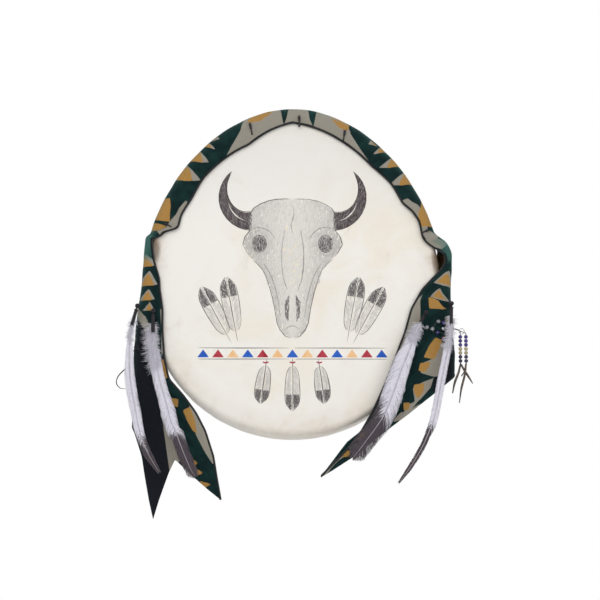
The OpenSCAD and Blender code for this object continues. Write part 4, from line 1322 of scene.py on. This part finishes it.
def make_drop(random):
    x, z = DROP_AT
    make_stem("stem_bead_drop", x, z, BEAD_Y)
    thong = Shape()
    make_eye(thong, x, BEAD_Y, z)
    ring_x = sum(LEG_X) / 2 - 2
    for k in (-1, 1):
        path = curve([[x + 2.2, BEAD_Y, z + k * 0.5], [x + 8, BEAD_Y + 0.3 * k, z - 1.6 + 0.4 * k],
                      [LEG_X[0] - 0.5, BEAD_Y - 0.3 * k, z - 3.0],
                      [LEG_X[1], BEAD_Y, LEG_TOP + 2.2]], 7)
        thong.tube(path, 0.5, 8)
    for leg in LEG_X:
        path = curve([[leg, BEAD_Y, LEG_TOP + (4.4 if leg == LEG_X[0] else 2.2)],
                      [leg + 0.1, BEAD_Y, LEG_TOP - 15], [leg - 0.1, BEAD_Y, LEG_TOP - 30],
                      [leg, BEAD_Y, LAST_END - 1.6]], 8)
        thong.tube(path, STRING_R, 10)
        knot = [[leg + 0.9 * math.cos(t), BEAD_Y + 0.7 * math.sin(2 * t), LAST_END - 1.5
                 + 0.75 * math.sin(t)] for t in np.linspace(0, 6.0, 22)]
        thong.tube(knot, 0.42, 8)
    thong.make("bead_strings", DARK_LEATHER, body="bead_drop", slot="dark_leather",
               stands_for=["drop_thong"])
    ring = Shape()
    coil = [[ring_x + 3.6 * math.cos(t), BEAD_Y - 1.2 - 0.12 * t / 6.3, RING_Z + 3.6 * math.sin(t)]
            for t in np.linspace(0.3, 7.4, 80)]
    ring.tube(coil, 0.42, 12)
    ring.make("wire_ring", SILVER, body="bead_drop", slot="silver", stands_for=["drop_ring"])
    ends = Shape()
    for i, (leg, tip_x, tip_z) in enumerate(((0, 241, -131), (1, 223, -157), (0, 214, -144),
                                             (1, 226, -121))):
        y = BEAD_Y + (i - 1.5) * 0.8
        a, b = np.array([LEG_X[leg], y, LAST_END - 0.9]), np.array([tip_x, y, tip_z])
        side = np.cross(unit(b - a), (0, 1, 0))
        path = curve([a, mix(a, b, 0.3) + side * random.uniform(-1.2, 1.2),
                      mix(a, b, 0.65) + side * random.uniform(-1.5, 1.5), b], 12)
        ends.tube(path, np.interp(np.linspace(0, 1, len(path)), [0, 0.1, 0.6, 1],
                                  [0.6, 1.3, 1.7, 0.8]), 8, flat=0.3,
                  twist=random.uniform(-260, 260))
    ends.make("curled_ends", LOOSE_LEATHER, body="bead_drop", slot="dark_leather",
              stands_for=["drop_ends"])
    for name, finish, slot, low, high in (("purple", PURPLE, "purple_glass", 0, 2),
                                          ("tan", TAN, "tan_bead", 3, 4),
                                          ("dark", DARK_GLASS, "dark_glass", 5, 6)):
        beads = Shape()
        for leg in LEG_X:
            for k in range(low, high + 1):
                add_bead(beads, (leg, BEAD_Y, FIRST_BEAD - k * BEAD_PITCH), 90, random)
        beads.make("hanging_beads_" + name, finish, body="bead_drop", slot=slot,
                   stands_for=["drop_beads_" + name], sharp=55)


def bead_end(b, s, y, beyond=0.0):
    """A point on the thread at one end of a sewn bead b, or beyond it."""
    a = math.radians(b[2])
    reach = s * (BEAD_R + beyond)
    return [b[0] + reach * math.cos(a), y, b[1] + reach * math.sin(a)]


def make_cluster(random):
    # Each bead's x, z and angle.
    purple = [(203, -49, 150), (195, -62, 10)]
    clear = [(196, -47, 200), (188, -57, 250), (180.6, -55, 90)]
    bright = (202.5, -57, 0)
    ring_at = (204, -71)
    sewn = WOOL_FRONT - STRING_R
    thread = Shape()
    order = [purple[0], clear[0], clear[1], purple[1]]
    thread.tube(curve([[209, sewn - 0.1, -52]]
                      + [bead_end(b, s, CLUSTER_Y) for b in order for s in (-1, 1)]
                      + [[202, CLUSTER_Y, -64], [ring_at[0], sewn - 0.3, ring_at[1] + 4.2]], 7),
                0.5, 8)
    for b in (clear[2], bright):
        thread.tube(curve([bead_end(b, -1, sewn - 0.1, 1.8), bead_end(b, -1, CLUSTER_Y),
                           bead_end(b, 1, CLUSTER_Y), bead_end(b, 1, sewn - 0.1, 1.8)], 7), 0.5, 8)
    thread.make("sewing_thread", THREAD, slot="dark_leather", stands_for=["cluster_thong"])
    for name, finish, slot, group in (("beads_purple", PURPLE, "purple_glass", purple),
                                      ("beads_clear", CLEAR, "clear_glass", clear),
                                      ("bead_silver", SILVER, "silver", [bright])):
        beads = Shape()
        for bx, bz, angle in group:
            add_bead(beads, (bx, CLUSTER_Y, bz), angle, random)
        beads.make("sewn_" + name, finish, slot=slot, stands_for=["cluster_" + name], sharp=55)
    t = full_turn(16)
    hoop = Shape()
    profile = np.stack([1.0 * np.sin(t), 3.4 + 1.1 * np.cos(t)], -1)
    hoop.rings(lathe(profile, (ring_at[0], -77.4, ring_at[1]), (0, 1, 0), 40), closed=True)
    hoop.make("sewn_ring", BROWN, slot="brown_ring", stands_for=["cluster_ring"])


def make_ties():
    tie = Shape()
    for k, (x, z) in enumerate(((-209, -82), (-200, -90))):
        for turn in range(3):
            loop = [[x + (3.0 - 0.5 * turn) * math.cos(t), -76.8 + 0.75 * math.sin(2 * t + turn),
                     z + (2.2 + 0.3 * turn) * math.sin(t + 0.7 * k)]
                    for t in np.linspace(0.6 * turn, 0.6 * turn + 5.9, 26)]
            tie.tube(loop, 0.85, 8, flat=0.7)
    tie.tube(curve([[-207, -76.8, -84], [-204, -77.4, -86.6], [-202, -76.8, -88.5]], 8), 1.0, 8,
             flat=0.6, twist=90)
    tie.tube(curve([[-211, -76.6, -83], [-212.4, -77.0, -87], [-211, -77.2, -91]], 6),
             [0.8] * 8 + [0.6] * 3 + [0.3] * 2, 8, flat=0.5)
    tie.make("flat_tie", DARK_LEATHER, slot="dark_leather", stands_for=["tie_left"])
    curl = Shape()
    path = curve([[-211, -60, -100], [-220, -62, -106], [-229, -65, -114], [-235, -66, -122],
                  [-236, -66, -130], [-231, -66, -136], [-223, -66, -137]], 9)
    curl.tube(path, np.interp(np.linspace(0, 1, len(path)), [0, 0.7, 1], [1.05, 0.9, 0.3]), 10,
              flat=0.7, twist=140)
    curl.make("loose_curl", DARK_LEATHER, slot="dark_leather", stands_for=["curl_left"])


# ---- Art on the head ----

HORN = paint("horn_paint", rgb(70, 56, 62), rgb(92, 76, 82))
BLUE = paint("blue_paint", rgb(24, 84, 186), rgb(44, 108, 206))
RED = paint("red_paint", rgb(160, 24, 48), rgb(190, 62, 78))
ORANGE = paint("orange_paint", rgb(240, 186, 128), rgb(248, 208, 160))
BONE = paint("bone_wash", rgb(245, 238, 222), rgb(241, 230, 206))
BARE = paint("bare_hide", rgb(240, 236, 228), rgb(230, 222, 210))
GRAPHITE = graphite()


def resample(points, n, smooth=True):
    p = np.asarray(points, float)
    p = np.stack([p[:, 0], np.zeros(len(p)), p[:, 1]], -1)
    if smooth and len(p) > 2:
        p = curve(p, 10)
    length = run(p)
    return follow(np.linspace(0, length[-1], n), length, p[:, ::2])


STROKE_BEND = 0.12             # how far a stroke bows, as a share of its length


class Drawing:
    """Pencil and brush strokes on the playing face: thin ridges that run out at both ends."""

    def __init__(self, level=0.0):
        self.level, self.groups = level, []
        self.random = np.random.default_rng(SEED)

    def strokes(self, paths, width, tone):
        n = len(paths)
        self.groups.append((paths, np.broadcast_to(width, n), np.broadcast_to(tone, n)))

    def line(self, points, width=0.6, tone=0.6, over=1, shake=0.25):
        """One drawn line, gone over a few times."""
        base = resample(points, 13)
        for _ in range(over):
            drift = self.random.normal(0, shake, (3, 2))
            move = np.stack([np.interp(np.linspace(0, 2, 13), [0, 1, 2], drift[:, i])
                             for i in (0, 1)], -1)
            self.strokes((base + move)[None], width, tone)

    def lines(self, many, width=0.6, tone=0.6, over=1, shake=0.25):
        for points in many:
            self.line(points, width, tone, over, shake)

    def hatch(self, polygon, angle, count, length, width, tone, fade=3.0):
        """Short strokes at an angle in degrees, kept inside a polygon and paler at its edge."""
        poly = np.asarray(polygon, float)
        low, high = poly.min(0), poly.max(0)
        p = low + self.random.random((count * 4, 2)) * (high - low)
        depth = inside(p, poly)
        p, depth = p[depth > 0.3][:count], depth[depth > 0.3][:count]
        turn = angle(p) if callable(angle) else np.full(len(p), float(angle))
        turn = np.radians(turn + self.random.normal(0, 7, len(p)))
        way = np.stack([np.cos(turn), np.sin(turn)], -1)
        reach = length * self.random.uniform(0.6, 1.25, len(p)) / 2
        for _ in range(3):
            outside = np.minimum(inside(p + way * reach[:, None], poly),
                                 inside(p - way * reach[:, None], poly)) < -0.2
            reach = np.where(outside, reach * 0.55, reach)
        t = np.linspace(-1, 1, 5)
        bow = self.random.normal(0, STROKE_BEND, len(p))[:, None] * reach[:, None] * (1 - t * t)
        normal = np.stack([-way[:, 1], way[:, 0]], -1)
        paths = (p[:, None] + way[:, None] * (reach[:, None] * t)[..., None]
                 + normal[:, None] * bow[..., None])
        share = tone(p) if callable(tone) else np.full(len(p), float(tone))
        share = share * (0.55 + 0.45 * np.clip(depth / fade, 0, 1))
        share = share * self.random.uniform(0.7, 1.2, len(p))
        width = width * self.random.uniform(0.7, 1.3, len(p))
        seen = share > 0.06
        self.strokes(paths[seen], width[seen], share[seen])

    def make(self, name, material):
        shape = Shape()
        for paths, width, tone in self.groups:
            n, k = paths.shape[:2]
            y = hide_y(paths[..., 0], paths[..., 1]) - self.level + 0.02
            points = np.stack([paths[..., 0], y, paths[..., 1]], -1)
            ahead = unit(np.gradient(points, axis=1))
            taper = np.sin(np.pi * np.clip(np.linspace(0, 1, k), 0.12, 0.88)) ** 0.6
            side = np.cross(ahead, (0, 1.0, 0)) * (width[:, None] / 2 * taper)[..., None]
            lift = 0.05 + 0.06 * np.clip(tone, 0, 1) + 0.01 * self.random.random(n)
            lifts = np.zeros_like(points)
            lifts[..., 1] = -lift[:, None] - 0.02
            shape.strands(points, side, lifts, tone=np.repeat(tone[:, None], k, 1))
        shape.make(name, material)


def coat(shape, one, other, lift=0.07, rows=40, cols=9, smooth=True):
    """A thin coat of paint between two edges, each a line of x, z points."""
    a, b = resample(one, rows, smooth), resample(other, rows, smooth)
    t = np.linspace(0, 1, cols)[None, :, None]
    flat = a[:, None] * (1 - t) + b[:, None] * t
    swell = np.sin(np.pi * np.linspace(0, 1, cols))[None] ** 0.25
    ends = np.minimum(1, np.minimum(np.arange(rows), np.arange(rows)[::-1]) / 1.5)[:, None]
    y = hide_y(flat[..., 0], flat[..., 1])
    front = np.stack([flat[..., 0], y - lift * swell * ends + 0.02, flat[..., 1]], -1)
    back = np.stack([flat[..., 0], y + 0.35, flat[..., 1]], -1)
    ragged_slab(shape, front, back)


def ribbon(shape, points, widths, lift=0.07, rows=30, cols=5):
    """A painted line along points, as wide as widths say from its start to its end."""
    line = resample(points, rows)
    side = unit(np.gradient(line, axis=0))[:, ::-1] * (-1, 1)
    half = np.interp(np.linspace(0, 1, rows), np.linspace(0, 1, len(widths)), widths)[:, None] / 2
    coat(shape, line + side * half, line - side * half, lift, rows, cols, smooth=False)

def mirror(side, *points):
    return [(side * x, z) for x, z in points]


def make_horns():
    """Two plain crescents: arcs of a circle, wide at the root and pointed at the tip."""
    coats, pale, marks = Shape(), Shape(), Drawing(0.06)
    turn = np.radians(np.linspace(-88, 52, 12))
    taper = np.linspace(1, 0, 12) ** 0.8
    middle_x, middle_z, radius, root = 54, 124, 46, 27

    def bow(side, reach):
        return np.stack([side * (middle_x + reach * np.cos(turn)),
                         middle_z + reach * np.sin(turn)], -1)

    for side in (-1, 1):
        outer, inner = bow(side, radius), bow(side, radius - root * taper)
        coat(coats, outer, inner, rows=60, cols=15)
        marks.hatch(np.vstack([outer, inner[::-1]]), 90 - side * 20, 800, 6, 0.5, 0.88, fade=0.3)
        for edge in (outer, inner):
            marks.line(edge, 0.8, 1.0, 3)
        # A pale glint along the root.
        ribbon(pale, bow(side, 34)[1:7], (0.3, 2.2, 0.3), lift=0.26)
    coats.make("art_horns", HORN)
    pale.make("art_horn_light", BARE)
    marks.make("art_horn_grain", GRAPHITE)


# Half of the skull's outline, x out from the middle line and z, from the top to the nose.
SKULL_HALF = [(0, 122), (30, 120), (54, 108), (60, 92), (58, 78), (68, 62), (56, 40), (40, 24),
              (30, -4), (24, -30), (20, -52), (10, -66), (0, -70)]


def bone_tone(p):
    """How dark the bone is shaded: pale down the middle, darker at the sides and the sockets."""
    half = np.array(SKULL_HALF[::-1], float)
    out = np.abs(p[:, 0])
    across = out / np.maximum(np.interp(p[:, 1], half[:, 1], half[:, 0]), 1)
    socket = np.exp(-((out - 44) / 16) ** 2 - ((p[:, 1] - 60) / 18) ** 2)
    return np.clip(0.14 + 0.34 * across ** 2 + 0.3 * socket, 0, 0.8)


def make_skull():
    """A plain skull in the usual front view, the same on both sides."""
    wash, d = Shape(), Drawing()
    middle = [(14, 96), (18, 50), (14, 4), (8, -34)]
    coat(wash, mirror(-1, *middle), middle, lift=0.03, rows=40, cols=15)
    whole = mirror(-1, *SKULL_HALF) + SKULL_HALF[::-1]
    d.hatch(whole, 80, 4200, 8, 2.5, lambda p: 0.64 * bone_tone(p), fade=0.3)
    d.hatch(whole, 74, 2600, 5, 0.55, bone_tone, fade=0.5)
    turn = np.linspace(0, 2 * np.pi, 13)
    for side in (-1, 1):
        d.line(mirror(side, *SKULL_HALF[:7]), 0.9, 0.85, 3, 0.35)
        d.line(mirror(side, *SKULL_HALF[6:]), 0.9, 0.85, 3, 0.35)
        socket = np.stack([side * (45 + 10 * np.cos(turn)), 60 + 12 * np.sin(turn)], -1)
        d.hatch(socket[:-1], 90, 420, 6, 0.8, 0.95, fade=0.8)
        d.line(socket, 1.0, 0.95, 3, 0.3)
        nostril = mirror(side, (4, -8), (11, -20), (10, -40), (5, -48))
        d.hatch(nostril, 94, 300, 5, 0.7, 0.9, fade=1.0)
        # The brow, the long bone of the nose and the cheek.
        d.lines([mirror(side, (56, 80), (44, 82), (30, 76), (22, 64)),
                 mirror(side, (10, 84), (15, 50), (13, 14), (5, -8)),
                 mirror(side, (42, 38), (28, 14), (20, -14), (16, -44))], 0.7, 0.7, 4, 0.45)
    # The seam down the forehead, and the end of the nose.
    d.lines([[(0, 114), (2, 100), (-2, 86), (1, 72)], [(-12, -58), (0, -52), (12, -58)]],
            0.8, 0.7, 3, 0.3)
    wash.make("art_bone", BONE)
    d.make("art_skull", GRAPHITE)


def draw_feather(d, base, tip, half=9.5):
    """A plain feather: two vanes of slanting barbs with a dark end, and a quill."""
    base, tip = np.array(base, float), np.array(tip, float)
    size = np.linalg.norm(tip - base)
    way = (tip - base) / size
    side = np.array([-way[1], way[0]])
    turn = math.degrees(math.atan2(way[1], way[0]))

    def at(t, w):
        return tuple(base + way * size * t + side * w * half)

    for w in (-1, 1):
        vane = [at(0, 0.1 * w), at(0.05, 0.6 * w), at(0.4, w), at(0.8, 0.95 * w), at(1, 0.1 * w)]
        end = [at(0.62, 0.1 * w), at(0.62, w), at(0.82, 0.92 * w), at(1, 0.1 * w)]
        d.line([at(0, 0), at(0.1, 0.7 * w), at(0.4, w), at(0.8, 0.95 * w), at(1, 0)], 0.8, 0.8, 3,
               0.3)
        d.hatch(vane, turn + 28 * w, 300, 8, 0.5, 0.3)
        d.hatch(end, turn + 28 * w, 300, 7, 0.7, 0.9, fade=0.6)
    d.line([at(-0.2, 0), at(0.4, 0.05), at(1, 0)], 1.0, 0.85, 3, 0.2)


def make_feather_pairs():
    d = Drawing()
    for side in (-1, 1):
        draw_feather(d, (side * 76, -60), (side * 90, 16), 11)
        draw_feather(d, (side * 88, -64), (side * 124, 2), 11)
    for x, drop in ((-36, 52), (0, 62), (36, 52)):
        draw_feather(d, (x, -106), (x * 1.2, -106 - drop))
    d.make("art_feathers", GRAPHITE)


def make_band():
    """A painted band of even triangles in three colours, between two pencil lines."""
    blue, orange, red, d = Shape(), Shape(), Shape(), Drawing()
    for k in range(-6, 7):
        x, apex = 20 * k, (20 * k, -84)
        coat((blue, orange, red)[abs(k) % 3], [(x - 9, -95), apex], [(x + 9, -95), apex], rows=24)
    for z in (-82, -97):
        d.lines([[(-130, z), (0, z)], [(0, z), (130, z)]], 1.0, 0.85, 3, 0.2)
    for x in (-36, 0, 36):
        ribbon(red, [(x - 4, -101), (x, -102), (x + 4, -101)], (2.0, 2.6, 2.0))
    for name, shape, material in (("blue", blue, BLUE), ("orange", orange, ORANGE),
                                  ("red", red, RED)):
        shape.make("art_" + name, material)
    d.make("art_band_lines", GRAPHITE)


def make_art():
    make_horns()
    make_skull()
    make_feather_pairs()
    make_band()


# ---- The scene ----

# In metres from here on.
FLOOR_REACH, FLOOR_Z = 6, -0.5
BACKDROP = 0.42                # the world's strength where it lights the drum
# Each lamp's name, place, target, size and power.
LIGHTS = (("key", (-1.2, -2.6, 2.2), (0, -0.07, 0), 2.4, 50),
          ("fill", (1.8, -2.4, 0.9), (0, -0.07, 0), 2.0, 20),
          ("rear", (0.6, 2.2, 1.6), (0, 0, 0), 2.0, 24))

def make_stage():
    f = Finish("floor_paper", Roughness=0.9)
    grain = f.noise(f.place(), 60, 4, 0.6)
    tone = f.two(grain, 0.3, 0.7, (236, 236, 236), (242, 242, 242))
    f.set(**{"Base Color": tone, "Normal": f.relief(grain, 0.0002, 0.3)})
    mesh = bpy.data.meshes.new("floor")
    corners = [(x * FLOOR_REACH, y * FLOOR_REACH, FLOOR_Z)
               for x, y in ((-1, -1), (1, -1), (1, 1), (-1, 1))]
    mesh.from_pydata(corners, [], [(0, 1, 2, 3)])
    mesh.materials.append(f.material)
    floor = add_object("floor", mesh)


def area_light(name, at, target, size, power):
    lamp = bpy.data.lights.new(name, "AREA")
    lamp.shape, lamp.size, lamp.energy = "SQUARE", size, power
    light = add_object(name, lamp)
    light.location = at
    light.rotation_euler = (Vector(target) - Vector(at)).to_track_quat("-Z", "Y").to_euler()


def make_world():
    world = bpy.data.worlds.new("studio")
    world.use_nodes = True
    tree = world.node_tree
    back = tree.nodes["Background"]
    ways = tree.nodes.new("ShaderNodeLightPath")
    choose = tree.nodes.new("ShaderNodeMapRange")
    choose.inputs[3].default_value, choose.inputs[4].default_value = BACKDROP, 1.0
    tree.links.new(ways.outputs["Is Camera Ray"], choose.inputs[0])
    tree.links.new(choose.outputs[0], back.inputs["Strength"])
    back.inputs["Color"].default_value = (1, 1, 1, 1)
    bpy.context.scene.world = world
    bpy.context.scene.view_settings.view_transform = "Standard"


def make_camera():
    target = Vector((0.0101, -0.07, -0.0169))
    elevation, azimuth, distance = math.radians(-8), math.radians(-0.5), 3.0
    back = Vector((math.sin(azimuth) * math.cos(elevation),
                   -math.cos(azimuth) * math.cos(elevation), math.sin(elevation)))
    data = bpy.data.cameras.new("camera")
    data.sensor_width, data.lens = 36, 133.5
    camera = add_object("camera", data)
    camera.location = target + distance * back
    camera.rotation_euler = (-back).to_track_quat("-Z", "Y").to_euler()
    bpy.context.scene.camera = camera


def main():
    random = Random(SEED)
    head = make_head()
    make_hoop()
    for side, angle in ARMS.items():
        make_laces(side, angle, random)
        make_grip_arm(side, angle)
    make_grip_hub()
    strip, front_edge, length = make_strip()
    sewn_on = [make_binding(front_edge, random), make_tacks(random)]
    hang_feathers(random)
    make_drop(random)
    make_cluster(random)
    make_ties()
    make_art()
    make_stage()
    make_world()
    for light in LIGHTS:
        area_light(*light)
    make_camera()


main()
